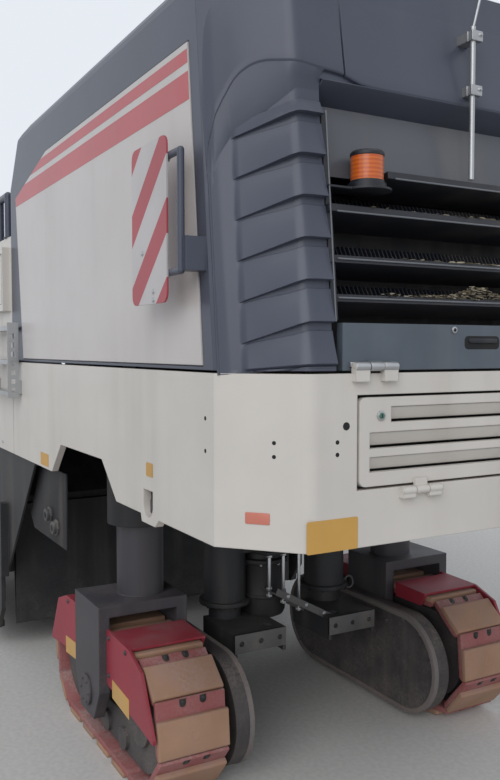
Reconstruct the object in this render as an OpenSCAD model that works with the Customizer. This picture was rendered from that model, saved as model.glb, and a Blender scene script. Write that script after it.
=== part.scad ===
// Large front-loading cold planer on four steered tracks.
// X points forward, Y to the left, Z up, and the ground is at Z = 0.
// Stations along the machine are measured from its rear face.

/* [Body] */
// Half width of the body over its side skirts
body_half_w = 1068; // [1040:2:1090]
// Height of the skirts' lower edge
skirt_z = 1257; // [1240:1:1270]
// Height of the seam between body and hood
split_z = 1769; // [1755:1:1790]
// Gap at the seams of the panels
seam_gap = 8; // [6:1:12]
// Length of the cut corner along the machine
corner_l = 220; // [200:5:240]
// Width of the cut corner across the machine
corner_w = 198; // [180:2:215]
// Radius of the soft bend between corner and rear
bend_r = 60; // [40:5:110]
// Wall thickness of the body's welded skirts
body_wall = 30; // [20:1:36]
// Length of the rear body and hood
bay_l = 2690; // [2640:10:2720]
// Length of the operator's platform
platform_l = 2080; // [2000:10:2120]
// Length of the front body
front_l = 2260; // [2240:10:2300]

/* [Rear skirt details] */
// Station of the rear foot of the skirt's notch
notch_s = 1050; // [1030:5:1080]
// Length of the notch at the skirt's edge
notch_l = 888; // [860:4:900]
// Length of the notch at its top
notch_top_l = 567; // [540:3:600]
// Height of the notch
notch_h = 143; // [120:1:150]
// Station of the hoisting slot in the skirt
hoist_slot_s = 730; // [700:5:760]
// Width of the hoisting slot
hoist_slot_w = 84; // [70:2:90]
// Height of the hoisting slot
hoist_slot_h = 95; // [80:5:110]
// Drop of the tab under the hoisting slot
tab_drop = 28; // [20:2:36]

/* [Hood] */
// Height of the hood's top
hood_top_z = 3000; // [2960:10:3040]
// Forward lean of the hood's rear
hood_lean = 6; // [5:0.5:7]
// Wall thickness of the hood
hood_wall = 34; // [28:1:40]
// Radius of the hood's upper side edges
hood_edge_r = 70; // [40:5:90]
// Height of the hood's front shoulder
hood_shoulder_z = 2941; // [2900:5:2960]
// Height of the hood's pivot
hood_pivot_z = 2640; // [2620:5:2650]
// Half width of the rear grille opening
grille_half_w = 786; // [770:2:800]
// Height of the grille opening's upper lip
grille_top_z = 2530; // [2500:5:2550]
// Height of the crease above the grille opening
crease_z = 2617; // [2590:5:2640]

/* [Corner louvres] */
// Steps in each corner
louvre_n = 6; // [5:1:7]
// Height of one step
louvre_pitch = 120.5; // [116:0.5:122]
// Depth of each step's undercut
louvre_d = 26; // [20:1:40]
// Length of a step's groove across the corner face
louvre_l = 205; // [180:5:225]
// Fall of the grooves towards the side
louvre_fall = 12; // [8:1:14]
// Depth of the recess that holds the steps
recess_d = 12; // [8:1:16]

/* [Side panel] */
// Thickness of the panel
panel_t = 14; // [10:1:18]
// Amount the panel stands proud of the hood
panel_proud = 3; // [2:1:4]
// Height of the panel's upper edge
panel_top_z = 2772; // [2740:4:2800]
// Station of the panel's lower rear corner
panel_rear_s = 291; // [285:1:310]
// Distance of the upper edge's front end behind the hood's front
panel_top_gap = 720; // [640:10:790]
// Distance of the panel's front corner behind the hood's front
panel_front_gap = 121; // [100:1:150]
// Height of the panel's front corner
panel_front_z = 2643; // [2600:1:2660]

/* [Grille and rear flap] */
// Depth of the grille's frame
grille_d = 60; // [50:2:70]
// Height of the flap under the grille
sill_h = 138; // [126:2:146]
// Depth of the blades
blade_d = 170; // [150:5:200]
// Thickness of the blades
blade_t = 22; // [16:2:26]
// Slope of the blades
blade_slope = 12; // [8:1:16]
// Radius of the hinge knuckles
knuckle_r = 12; // [10:1:14]
// Radius of the hinge pins
hinge_pin_r = 6; // [5:0.5:7]

/* [Louvred flap] */
// Half width of the flap
flap_half_w = 704; // [680:4:720]
// Height of the flap's lower edge
flap_z = 1434; // [1425:1:1445]
// Height of the flap
flap_h = 264; // [250:2:274]
// Thickness of the flap
flap_t = 22; // [18:1:24]

/* [Tracks] */
// Distance of a track's centre inside the skirts' face
track_in = 278; // [268:1:298]
// Station of the rear track's centre
rear_track_s = 1640; // [1620:5:1670]
// Distance of the front track's centre behind the front face
front_track_gap = 810; // [790:10:850]
// Width of the shoes
shoe_w = 306; // [290:2:312]
// Length of a track over its shoes
track_l = 1400; // [1360:10:1480]
// Height of a track over its shoes
track_h = 590; // [570:5:620]
// Shoes on each track
shoe_n = 16; // [15:1:18]
// Length of a pad along the track
pad_l = 150; // [130:2:160]
// Thickness of a pad
pad_t = 36; // [30:1:44]
// Thickness of the chain and plates
chain_t = 42; // [36:1:50]
// Radius of the lifting column
column_r = 108; // [100:1:115]
// Distance of the column inwards from the track's centre
column_in = 50; // [40:5:60]
// Width of the yoke along the track
yoke_l = 336; // [320:4:380]
// Height of the yoke's top
yoke_top_z = 712; // [704:2:740]
// Thickness of the yoke's plates
yoke_t = 50; // [40:2:56]

/* [Milling drum] */
// Distance of the drum's axis behind the front tracks' centre
drum_back = 2290; // [2270:5:2310]
// Height of the drum's axis as the machine parks
drum_z = 670; // [650:5:680]
// Cutting radius of the drum
drum_r = 510; // [490:5:515]
// Radius of the drum's tube
drum_tube_r = 385; // [370:5:400]
// Distance of the drum's ends inside the skirts' face
drum_in = 88; // [78:2:108]
// Picks along each half of the drum
pick_rows = 26; // [20:1:30]
// Helix starts on each half
pick_starts = 3; // [2:1:3]
// Turn of the helix over one half, in degrees
pick_wrap = 300; // [240:10:320]

/* [Loading conveyor] */
// Distance of the slewing axis ahead of the front face
slew_gap = 390; // [380:5:430]
// Height of the lifting pivot
lift_z = 1150; // [1140:5:1170]
// Length of the conveyor past the pivot
boom_l = 7700; // [7500:20:7800]
// Rise of the conveyor as parked, in degrees
boom_rise = 10; // [8:0.5:12]
// Inside width of the trough
trough_w = 860; // [820:10:900]
// Height of the trough's sides
trough_h = 290; // [270:10:310]
// Height of the mast above the pivot
mast_h = 1250; // [1200:10:1300]
// Reach of the lift cylinders' eyes along the conveyor
eye_l = 2300; // [2200:20:2400]

/* [Hidden] */
$fn = 48;

dark = [0.22, 0.25, 0.31];
cream = [0.86, 0.83, 0.77];
steel = [0.30, 0.30, 0.31];

trough_t = 16;
trough_low_z = -100;

deck_s = bay_l + 10;
front_s = deck_s + platform_l + 10;
front_face_s = front_s + front_l;
front_track_s = front_face_s - front_track_gap;
track_y = body_half_w - track_in;
drum_s = front_track_s - drum_back;
drum_w = 2 * (body_half_w - drum_in);
slew_s = front_face_s + slew_gap;

// The origin lies midway between the hinges behind the rear face and the conveyor's head
boom_reach = boom_l * cos(boom_rise) - trough_low_z * sin(boom_rise);
hinge_proud = 2 * knuckle_r;
rear_x = -(slew_s + boom_reach - hinge_proud) / 2;

beam_y = 560;
beam_w = 120;
beam_z = skirt_z + 13;
beam_h = 230;
beam_top = beam_z + beam_h;

panel_top_s = bay_l - panel_top_gap;
panel_front_s = bay_l - panel_front_gap;

track_a = (track_l - track_h) / 2;
track_r = track_h / 2;
plate_r = track_r - pad_t;
chain_r = plate_r - chain_t;

sides = [1, -1];

// Draws its children at stations measured from the rear face
module at_rear() translate([rear_x, 0, 0]) children();

// Draws its children on both sides of the machine
module both_sides() {
    children();
    mirror([0, 1, 0]) children();
}

// A bar between two corners
module bar(s0, s1, y0, y1, z0, z1) translate([s0, y0, z0]) cube([s1 - s0, y1 - y0, z1 - z0]);

// A side view, given as stations and heights, drawn across the machine from y0 to y1
module side_view(y0, y1) translate([0, y1, 0]) rotate([90, 0, 0]) linear_extrude(y1 - y0) children();

// A rear view, given as widths and heights, drawn along the machine from s0 to s1
module rear_view(s0, s1) translate([s0, 0, 0]) rotate([90, 0, 90]) linear_extrude(s1 - s0) children();

// A round bar across the machine
module cross_bar(s, z, r, y0, y1) translate([s, y1, z]) rotate([90, 0, 0]) cylinder(r = r, h = y1 - y0);

// Points of an arc about a centre
function arc(x, y, r, from, to, n = 6) =
    [for (i = [0:n]) [x + r * cos(from + (to - from) * i / n), y + r * sin(from + (to - from) * i / n)]];

// Half angle between the rear face and the corner face
corner_turn = atan2(corner_l, corner_w);
bend_y = body_half_w - corner_w;

// Plan of the body with cut corners and soft bends, drawn in by inset on every side
module plan(l, inset = 0) {
    side_s = corner_l + inset * tan((90 - corner_turn) / 2);
    half = arc(bend_r, bend_y - bend_r * tan(corner_turn / 2), bend_r - inset, 180, 180 - corner_turn);
    edge = [[side_s, body_half_w - inset], [l, body_half_w - inset]];
    outline = concat(half, edge);
    polygon(concat(outline, [for (i = [len(outline) - 1:-1:0]) [outline[i][0], -outline[i][1]]]));
}

module skirt_shell(l, z0, z1) difference() {
    translate([0, 0, z0]) linear_extrude(z1 - z0) plan(l);
    translate([0, 0, z0 - 1]) linear_extrude(z1 - z0 + 2) plan(l + 2, body_wall);
}

notch = [[notch_s, skirt_z - 1], [notch_s + (notch_l - notch_top_l) * 0.52, skirt_z + notch_h],
    [notch_s + (notch_l - notch_top_l) * 0.52 + notch_top_l, skirt_z + notch_h],
    [notch_s + notch_l, skirt_z - 1]];

hinge_s = -knuckle_r;
sill_hinge_z = split_z + seam_gap + knuckle_r;
flap_hinge_z = flap_z - seam_gap - knuckle_r;
// Widths at which hinge knuckles start: outer body knuckle, door knuckle, inner body knuckle
hinge_y = 577;
knuckle_l = 52;

// Two body knuckles with their pin, to the left of the centre line
module fixed_hinge(y, z) {
    cross_bar(hinge_s, z, hinge_pin_r, y, y + 3 * knuckle_l);
    for (k = [0, 2])
        cross_bar(hinge_s, z, knuckle_r, y + k * knuckle_l, y + (k + 1) * knuckle_l - 1);
}

// The knuckle between them, which turns on the pin
module moving_hinge(y, z) difference() {
    cross_bar(hinge_s, z, knuckle_r, y + knuckle_l + 1, y + 2 * knuckle_l - 2);
    cross_bar(hinge_s, z, hinge_pin_r + 0.08, y, y + 3 * knuckle_l);
}

module rear_body() color(cream) {
    difference() {
        union() {
            skirt_shell(bay_l, skirt_z, split_z);
            both_sides() side_view(body_half_w - body_wall, body_half_w)
                polygon([[hoist_slot_s - 95, skirt_z + 1], [hoist_slot_s - 60, skirt_z - tab_drop],
                    [hoist_slot_s + 60, skirt_z - tab_drop], [hoist_slot_s + 70, skirt_z + 1]]);
        }
        both_sides() {
            side_view(body_half_w - body_wall - 20, body_half_w + 5) polygon(notch);
            side_view(body_half_w - body_wall - 5, body_half_w + 5)
                translate([hoist_slot_s, skirt_z + hoist_slot_w / 2 - 4]) hull_slot();
        }
        bar(-40, body_wall + 20, -flap_half_w - seam_gap, flap_half_w + seam_gap,
            flap_z - seam_gap, flap_z + flap_h + seam_gap);
    }
    both_sides() {
        fixed_hinge(hinge_y, sill_hinge_z);
        fixed_hinge(flap_hinge_y, flap_hinge_z);
        for (k = [0, 2]) {
            bar(hinge_s - 8, 4, hinge_y + k * knuckle_l, hinge_y + (k + 1) * knuckle_l - 1,
                split_z - 24, sill_hinge_z);
            bar(hinge_s - 8, 4, flap_hinge_y + k * knuckle_l, flap_hinge_y + (k + 1) * knuckle_l - 1,
                flap_hinge_z - 22, flap_hinge_z);
        }
    }
}
flap_hinge_y = 400;

// A slot with a round foot
module hull_slot() {
    circle(r = hoist_slot_w / 2);
    translate([-hoist_slot_w / 2, 0]) square([hoist_slot_w, hoist_slot_h - hoist_slot_w / 2]);
}

// The hood's solid form, drawn in by inset on every side
module hood_form(inset = 0) intersection() {
    translate([0, 0, split_z]) rotate([0, hood_lean, 0])
        translate([0, 0, -400]) linear_extrude(2200) plan(4000, inset);
    rear_view(-50, bay_l + 20) hood_section(inset);
    side_view(-body_half_w, body_half_w) polygon([
        [-50, split_z + seam_gap - (inset > 0 ? 5 : 0)],
        [bay_l + (inset > 0 ? 5 : 0), split_z + seam_gap - (inset > 0 ? 5 : 0)],
        [bay_l + (inset > 0 ? 5 : 0), panel_front_z + 60 - inset],
        [bay_l - 180 - inset / 2, hood_shoulder_z - inset],
        [panel_top_s + 130, hood_top_z - inset], [-50, hood_top_z - inset]]);
}

// Section of the hood with round upper edges
module hood_section(inset) {
    w = body_half_w - inset;
    top = hood_top_z - inset;
    r = hood_edge_r - inset / 2;
    half = concat(arc(w - r, top - r, r, 90, 0, 5), [[w, split_z]]);
    polygon(concat(half, [for (i = [len(half) - 1:-1:0]) [-half[i][0], half[i][1]]]));
}

corner_face_l = sqrt(corner_l * corner_l + corner_w * corner_w);
corner_dir = atan2(corner_w, corner_l);

// One step's undercut as a straight prism, thickest at its upper end
module step_cut(l, d, h) rotate([90, 0, 90]) linear_extrude(l) polygon([[30, 0], [30, h], [-d, h], [0, 0]]);

// Places its children on the left corner face: X along it from the bend, Y out of it
module on_corner_face() translate([0, bend_y, 0]) rotate([0, 0, corner_dir]) children();

// The stepped louvres of the left corner, in the leaning frame of the hood's rear
module corner_cuts() {
    base = seam_gap + 20;
    recess_h = louvre_n * louvre_pitch + 107;
    // recess over the corner face and the short rear face beside the grille
    intersection() {
        on_corner_face() rotate([90, 0, 0]) translate([0, 0, -300]) linear_extrude(600)
            polygon([[-300, base - 6], [corner_face_l - 34, base - 6], [corner_face_l - 34, base + 590],
                [corner_face_l - 90, base + 720], [0, base + recess_h], [-300, base + recess_h]]);
        difference() {
            translate([-60, grille_half_w - 30, 0]) cube([400, 400, 1000]);
            translate([0, 0, -1]) linear_extrude(1002) plan(1000, recess_d);
        }
    }
    for (i = [0:louvre_n - 1]) {
        z = base + i * louvre_pitch;
        // corner face: the groove runs out towards the side
        on_corner_face() translate([0, -recess_d, z]) rotate([0, louvre_fall, 0])
            rotate([0, 0, atan(louvre_d / louvre_l)]) translate([-60, 0, 0])
                step_cut(louvre_l + 60, louvre_d, louvre_pitch);
        // rear face: the groove keeps its depth up to the grille's edge
        translate([recess_d, grille_half_w - 30, z]) rotate([0, 0, 90])
            step_cut(bend_y - grille_half_w + 120, louvre_d, louvre_pitch);
    }
}

module panel_outline(grow = 0) {
    lean = tan(hood_lean) * 0.92;
    polygon([[panel_rear_s - grow, split_z + seam_gap + 14 - grow],
        [panel_rear_s + lean * (panel_top_z - split_z) - grow, panel_top_z + grow],
        [panel_top_s + grow, panel_top_z + grow], [panel_front_s + grow, panel_front_z + grow],
        [panel_front_s - 125 + grow, split_z + seam_gap + 14 - grow]]);
}

module hood() color(dark) {
    difference() {
        hood_form();
        hood_form(hood_wall);
        both_sides() side_view(body_half_w - panel_t + panel_proud, body_half_w + 10) panel_outline(4);
        both_sides() translate([0, 0, split_z]) rotate([0, hood_lean, 0]) corner_cuts();
        // grille opening, with its upper edge sloping in below the crease
        side_view(-grille_half_w, grille_half_w)
            polygon([[-60, split_z - 20], [500, split_z - 20], [500, grille_top_z], [190, grille_top_z],
                [84, crease_z], [-60, crease_z]]);
    }
    hood_pivots();
    board_brackets();
    exhaust_outlet();
}

pivot_s = bay_l - 35;
pivot_y = 620;
pivot_pin_r = 12;
lug_t = 24;

// Lugs under the roof that turn on the pins behind the bulkhead
module hood_pivots() both_sides() difference() {
    union() {
        intersection() {
            side_view(pivot_y, pivot_y + lug_t) polygon([[pivot_s - 260, hood_top_z],
                [pivot_s - 180, hood_pivot_z + 90], [pivot_s - 18, hood_pivot_z - 8],
                [pivot_s + 18, hood_pivot_z + 8], [pivot_s + 10, hood_top_z]]);
            hood_form(6);
        }
        cross_bar(pivot_s, hood_pivot_z, 22, pivot_y, pivot_y + lug_t);
    }
    cross_bar(pivot_s, hood_pivot_z, pivot_pin_r + 0.08, pivot_y - 5, pivot_y + lug_t + 5);
}

board_y = body_half_w + 71;
board_w = 282;
board_h = 500;
board_s = 356;
board_z = 1980;
board_t = 6;

// Bent tubes that carry the warning boards beside the hood
module board_brackets() both_sides() {
    tube_r = 11;
    tube_s = board_s - 66;
    for (z = [board_z + 90, board_z + board_h - 60])
        translate([tube_s, board_y, z]) rotate([0, 90, 0]) cylinder(r = tube_r, h = 120);
    translate([tube_s, board_y, board_z + 90]) cylinder(r = tube_r, h = board_h - 150);
    for (z = [board_z + 90, board_z + board_h - 60]) translate([tube_s, board_y, z]) sphere(r = tube_r);
    bar(tube_s - 26, tube_s + 26, body_half_w - 6, board_y - 4, board_z + 90, board_z + 190);
}

module exhaust_outlet() {
    translate([700, -520, hood_top_z - 20]) difference() {
        cylinder(r = 75, h = 62);
        translate([0, 0, 24]) cylinder(r = 68, h = 60);
    }
}

module side_panels() color(cream) both_sides()
    side_view(body_half_w - panel_t + panel_proud, body_half_w + panel_proud) panel_outline();

module warning_boards() color("firebrick") both_sides() difference() {
    side_view(board_y + 11, board_y + 11 + board_t) translate([board_s, board_z]) board_outline();
}

module board_outline() {
    r = 40;
    polygon(concat(arc(r, r, r, 180, 270), arc(board_w - r, r, r, 270, 360),
        arc(board_w - 8, board_h - 8, 8, 0, 90, 3), arc(8, board_h - 8, 8, 90, 180, 3)));
}

pole_y = 231;
pole_r = 9;
pole_s = 50;
rod_tilt = 16;

// Tube held by two clamps on the hood's rear, with a thin rod above it
module beacon_pole() color("silver") {
    translate([pole_s, pole_y, 2380]) cylinder(r = pole_r, h = 480);
    translate([pole_s, pole_y, 2855]) rotate([rod_tilt, 0, 0]) cylinder(r = 4, h = 300);
    for (z = [crease_z + 43, crease_z + 213])
        side_view(pole_y - 30, pole_y + 13) polygon([[pole_s - 13, z - 15], [lean_s(z - 15), z - 15],
            [lean_s(z + 15), z + 15], [pole_s - 13, z + 15]]);
}

// Station of the hood's leaning rear face at a height
function lean_s(z) = (z - split_z) * tan(hood_lean);

// Heights of the blades' front edges, and the length left off at their left end
blades = [[2350, 215], [2237, 0], [2090, 0], [1977, 0]];
grille_s = 24;
sill_z = split_z + seam_gap;
sill_half_w = grille_half_w - 26;

frame_w = 20;
frame_in = 6;
grille_low_z = sill_z + sill_h + 8;
grille_high_z = grille_top_z - 2;
sheet_s = 122;

// Blades across the hood's rear opening, with the beacon's shelf at their left end
module grille() color(dark) {
    both_sides() side_view(grille_half_w - frame_w, grille_half_w)
        polygon([[lean_s(grille_low_z) + frame_in, grille_low_z], [lean_s(grille_high_z) + frame_in, grille_high_z],
            [lean_s(grille_high_z) + frame_in + grille_d, grille_high_z],
            [lean_s(grille_low_z) + frame_in + grille_d, grille_low_z]]);
    // sloping sheet from the hood's lip down to the first blade
    side_view(-grille_half_w + frame_w - 2, grille_half_w - frame_w + 2)
        polygon([[sheet_s, blades[0][0] + 3], [sheet_s + 10, blades[0][0] + 1],
            [186, grille_high_z], [176, grille_high_z]]);
    for (b = blades)
        translate([grille_s + lean_s(b[0]) * 0.3, -grille_half_w, b[0]]) rotate([0, blade_slope, 0])
            cube([blade_d, 2 * grille_half_w - b[1], blade_t]);
    beacon_shelf();
}

// Narrow flap under the grille, hinged at its lower edge
module rear_flap() color(dark) {
    bar(8, 38, -sill_half_w, sill_half_w, sill_z, sill_z + sill_h);
    both_sides() {
        moving_hinge(hinge_y, sill_hinge_z);
        bar(hinge_s + 1, 12, hinge_y + knuckle_l + 1, hinge_y + 2 * knuckle_l - 2,
            sill_hinge_z + 7, sill_hinge_z + 17);
    }
}

beacon_y = 636;
beacon_s = 62;
beacon_z = 2312;
shelf_t = 6;

module beacon_shelf() {
    translate([0, 0, beacon_z - shelf_t]) linear_extrude(shelf_t) {
        translate([beacon_s, beacon_y]) circle(r = 74);
        translate([beacon_s - 20, beacon_y]) square([90, grille_half_w - beacon_y]);
    }
    translate([beacon_s, beacon_y, beacon_z]) cylinder(r = 58, h = 16);
}

module beacon() color("orangered") translate([beacon_s, beacon_y, beacon_z + 16]) {
    cylinder(r = 50, h = 82);
    translate([0, 0, 82]) cylinder(r1 = 52, r2 = 46, h = 14);
}

// Heights of the three louvre slots and where each starts from the left edge
slots = [[1622, 47, 117], [1546, 48, 38], [1476, 45, 38]];

module louvre_flap() color(cream) {
    difference() {
        side_rounded_plate();
        for (s = slots)
            bar(-20, 60, -flap_half_w + s[2], flap_half_w - s[2], s[0], s[0] + s[1]);
    }
    // slanted blade across each slot
    for (s = slots)
        translate([6, -flap_half_w + s[2] - 6, s[0] + s[1] - 2]) rotate([0, 62, 0])
            cube([s[1] - 4, 2 * (flap_half_w - s[2]) + 12, 5]);
    both_sides() {
        moving_hinge(flap_hinge_y, flap_hinge_z);
        bar(hinge_s + 1, -1, flap_hinge_y + knuckle_l + 1, flap_hinge_y + 2 * knuckle_l - 2,
            flap_hinge_z + 7, flap_z + 16);
        bar(-6, 4, flap_hinge_y + knuckle_l + 1, flap_hinge_y + 2 * knuckle_l - 2,
            flap_z + 2, flap_z + 16);
    }
}

module side_rounded_plate() rear_view(0, flap_t) {
    r = 22;
    polygon(concat(arc(-flap_half_w + r, flap_z + r, r, 180, 270, 4), arc(flap_half_w - r, flap_z + r, r, 270, 360, 4),
        arc(flap_half_w - r, flap_z + flap_h - r, r, 0, 90, 4),
        arc(-flap_half_w + r, flap_z + flap_h - r, r, 90, 180, 4)));
}

// Chassis: two long beams, cross members and the guide tubes of the four lifting columns
guide_r = 150;
guide_z = 1040;
guide_top = split_z - 40;
column_y = track_y - column_in;
axle_s = [rear_track_s, front_track_s];
axle_beam_h = 150;
nose_top_z = 820;
nose_h = 100;
nose_r = 220;
slew_pin_r = 90;

module main_frame() color(steel) difference() {
    union() {
        both_sides() {
            bar(60, front_face_s - body_wall, beam_y - beam_w / 2, beam_y + beam_w / 2, beam_z, beam_top);
            for (s = axle_s) {
                translate([s, column_y, guide_z]) cylinder(r = guide_r, h = guide_top - guide_z);
                bar(s - 190, s + 190, beam_y, body_half_w - body_wall, beam_top - 80, beam_top);
            }
            // outriggers that carry the skirts
            for (s = [420, bay_l - 120, deck_s + 60, front_s - 70, front_s + 140, front_face_s - front_chamfer - 60])
                bar(s - 40, s + 40, beam_y, body_half_w - body_wall, beam_top - 60, beam_top);
        }
        for (s = axle_s) bar(s - 150, s + 150, -track_y, track_y, beam_top, beam_top + axle_beam_h);
        bar(60, 180, -beam_y, beam_y, beam_z, beam_top);
        // nose that carries the slewing bearing
        both_sides() side_view(beam_y - beam_w / 2, beam_y + beam_w / 2)
            polygon([[front_face_s - 420, beam_z + 40], [front_face_s - 60, beam_z + 40],
                [front_face_s - 60, nose_top_z - 20], [front_face_s - 160, nose_top_z - 20]]);
        bar(front_face_s - 160, front_face_s - 20, -beam_y - beam_w / 2, beam_y + beam_w / 2,
            nose_top_z - nose_h, nose_top_z);
        bar(front_face_s - 40, slew_s, -nose_r, nose_r, nose_top_z - nose_h, nose_top_z);
        translate([slew_s, 0, nose_top_z - nose_h]) cylinder(r = nose_r, h = nose_h);
    }
    both_sides() for (s = axle_s)
        translate([s, column_y, guide_z - 1]) cylinder(r = column_r + 0.08, h = guide_top - guide_z + 30);
    translate([slew_s, 0, nose_top_z - nose_h - 5]) cylinder(r = slew_pin_r + 0.08, h = nose_h + 10);
}

// Engine with its pump drive as one block on the rear cross member, and the cooler behind it
engine_s = [620, bay_l - 340];
engine_half_w = beam_y - 80;
engine_top_z = 2480;
cooler_s = [300, 400];
cooler_half_w = 700;

module engine_block() color("dimgray") {
    bar(engine_s[0], engine_s[1], -engine_half_w, engine_half_w, beam_top + axle_beam_h, engine_top_z);
    bar(cooler_s[0], cooler_s[1], -cooler_half_w, cooler_half_w, beam_top, engine_top_z);
}

// Two box brackets that hang under the rear frame, each with an upright pin hole
bracket_s = 1340;
bracket_y = 262;
bracket_w = 274;
bracket_z = 415;
bracket_h = 112;
bracket_l = 330;
tow_hole_r = 25;
tow_hole_y = 192;
post_s = 1640;
post_y = 295;
post_r = 104;

module rear_brackets() color(steel) both_sides() {
    difference() {
        bar(bracket_s, bracket_s + bracket_l, bracket_y - bracket_w / 2, bracket_y + bracket_w / 2,
            bracket_z, bracket_z + bracket_h);
        bar(bracket_s - 5, bracket_s + bracket_l - 14, bracket_y - bracket_w / 2 + 14, bracket_y + bracket_w / 2 - 14,
            bracket_z - 5, bracket_z + bracket_h - 22);
        translate([bracket_s + 55, tow_hole_y, bracket_z]) cylinder(r = tow_hole_r, h = bracket_h + 5);
    }
    // round post with its foot flange, and the tie to the frame's beam
    translate([post_s, post_y, bracket_z + bracket_h - 10]) cylinder(r = post_r - 24, h = 100);
    translate([post_s, post_y, bracket_z + bracket_h + 66]) cylinder(r = post_r + 22, h = 20);
    translate([post_s, post_y, bracket_z + bracket_h + 80]) cylinder(r = post_r, h = beam_z + 20 - bracket_z - bracket_h);
    bar(post_s - 50, post_s + 50, post_y, beam_y - beam_w / 2, beam_z, beam_z + 60);
}

deck_z = split_z;
deck_t = 60;
bulkhead_z = 2590;

// Floor of the operator's platform with the bulkhead behind it
module platform_deck() color(steel) {
    bar(deck_s, front_s - 10, -body_half_w + body_wall, body_half_w - body_wall, deck_z, deck_z + deck_t);
    bar(deck_s, deck_s + 30, -body_half_w + body_wall, body_half_w - body_wall, deck_z, bulkhead_z);
    // posts and pins of the hood's pivots
    both_sides() {
        side_view(pivot_y - 2 - lug_t, pivot_y - 2) polygon([[pivot_s - 22, hood_pivot_z + 20],
            [pivot_s + 20, hood_pivot_z + 20], [pivot_s + 20, bulkhead_z - 20], [deck_s + 5, bulkhead_z - 50],
            [deck_s + 5, bulkhead_z - 300], [pivot_s - 22, bulkhead_z - 260]]);
        cross_bar(pivot_s, hood_pivot_z, pivot_pin_r, pivot_y - 10, pivot_y + lug_t + 6);
    }
    // legs down to the beams
    for (s = [deck_s + 60, front_s - 70]) for (side = sides)
        bar(s - 40, s + 40, side * beam_y - 40, side * beam_y + 40, beam_top, deck_z);
}

wall_z = 2460;
gate_s = [deck_s + 330, deck_s + 980];

module platform_walls() color(cream) both_sides() {
    difference() {
        bar(deck_s, front_s - 10, body_half_w - body_wall, body_half_w, skirt_z, wall_z);
        bar(gate_s[0], gate_s[1], body_half_w - body_wall - 5, body_half_w + 5, deck_z + deck_t, wall_z + 5);
    }
    // locker on the outside of the wall
    bar(deck_s + 20, deck_s + 310, body_half_w, body_half_w + 45, 2050, 2400);
}

rail_r = 21;
rail_z = 2860;
low_rail_z = 2700;

// Hand rails along the platform
module rails() color(dark) {
    both_sides() {
        rail_loop(deck_s + 110, gate_s[0] - 20, low_rail_z);
        rail_loop(gate_s[1] + 20, front_s - 50, rail_z);
    }
}

module rail_loop(s0, s1, top) {
    y = body_half_w - body_wall / 2;
    for (s = [s0, s1]) translate([s, y, wall_z]) cylinder(r = rail_r, h = top - wall_z);
    translate([s0, y, top]) rotate([0, 90, 0]) cylinder(r = rail_r, h = s1 - s0);
    for (s = [s0, s1]) translate([s, y, top]) sphere(r = rail_r);
}

ladder_y = body_half_w + 14;
ladder_w = 60;
ladder_s = [bay_l - 190, bay_l + 310];
ladder_z = 1580;
ladder_h = 400;

module ladders() color("silver") both_sides() {
    for (s = ladder_s) difference() {
        bar(s - 4, s + 4, ladder_y, ladder_y + ladder_w, ladder_z, ladder_z + ladder_h);
        for (z = [ladder_z + 40:48:ladder_z + ladder_h - 40])
            bar(s - 10, s + 10, ladder_y + 20, ladder_y + 40, z - 13, z + 13);
    }
    for (z = [ladder_z + 20, ladder_z + 190, ladder_z + ladder_h - 30])
        bar(ladder_s[0], ladder_s[1], ladder_y + 4, ladder_y + ladder_w - 4, z - 12, z + 12);
    for (s = ladder_s) bar(s - 4, s + 40, body_half_w, ladder_y + 10, ladder_z + 20, ladder_z + 90);
}

console_y = [430, 900];
console_z = [2480, 2600, 2560];

module consoles() color(dark) both_sides() {
    side_view(console_y[0], console_y[1]) polygon([[front_s - 520, deck_z + deck_t], [front_s - 130, deck_z + deck_t],
        [front_s - 130, console_z[2]], [front_s - 260, console_z[1]], [front_s - 520, console_z[0]]]);
}

seat_half_w = 230;
arm_w = 38;

module seats() color([0.12, 0.12, 0.13]) both_sides() {
    translate([deck_s + 560, 640, deck_z + deck_t]) {
        cylinder(r1 = 100, r2 = 60, h = 60);
        cylinder(r = 60, h = 420);
        // cushion, backrest and arm rests
        side_view(-seat_half_w, seat_half_w) polygon([[-210, 415], [200, 415], [232, 450], [232, 505], [205, 528],
            [-150, 512], [-210, 500]]);
        side_view(-seat_half_w + 10, seat_half_w - 10) polygon([[-150, 470], [-165, 520], [-235, 960],
            [-262, 1000], [-300, 985], [-300, 940], [-235, 470]]);
        for (y = [-seat_half_w + 2, seat_half_w - arm_w - 2]) side_view(y, y + arm_w)
            polygon([[-225, 505], [-165, 505], [-180, 650], [110, 662], [118, 690], [-235, 690]]);
    }
}

front_chamfer = 260;

// Front skirts with cut front corners, open in the middle for the conveyor
module front_body() color(cream) difference() {
    translate([0, 0, skirt_z]) linear_extrude(split_z - skirt_z) front_plan(0);
    translate([0, 0, skirt_z - 1]) linear_extrude(split_z - skirt_z + 2) front_plan(body_wall);
    bar(front_face_s - 200, front_face_s + 10, -520, 520, skirt_z - 5, split_z + 5);
}

module front_plan(inset) {
    w = body_half_w - inset;
    c = front_chamfer - inset * 0.4;
    f = front_face_s - inset;
    polygon([[front_s - (inset > 0 ? 5 : 0), -w], [f - c, -w], [f, -w + c], [f, w - c], [f - c, w],
        [front_s - (inset > 0 ? 5 : 0), w]]);
}

tank_z = split_z;
tank_top_z = 2440;

cap_r = 95;
cap_s = front_s + 560;
cap_y = 420;

// Water tank with its sloping nose and its filler lids
module water_tank() color(dark) {
    tank_shell();
    both_sides() translate([cap_s, cap_y, tank_top_z]) cylinder(r = cap_r, h = 58);
}

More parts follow.
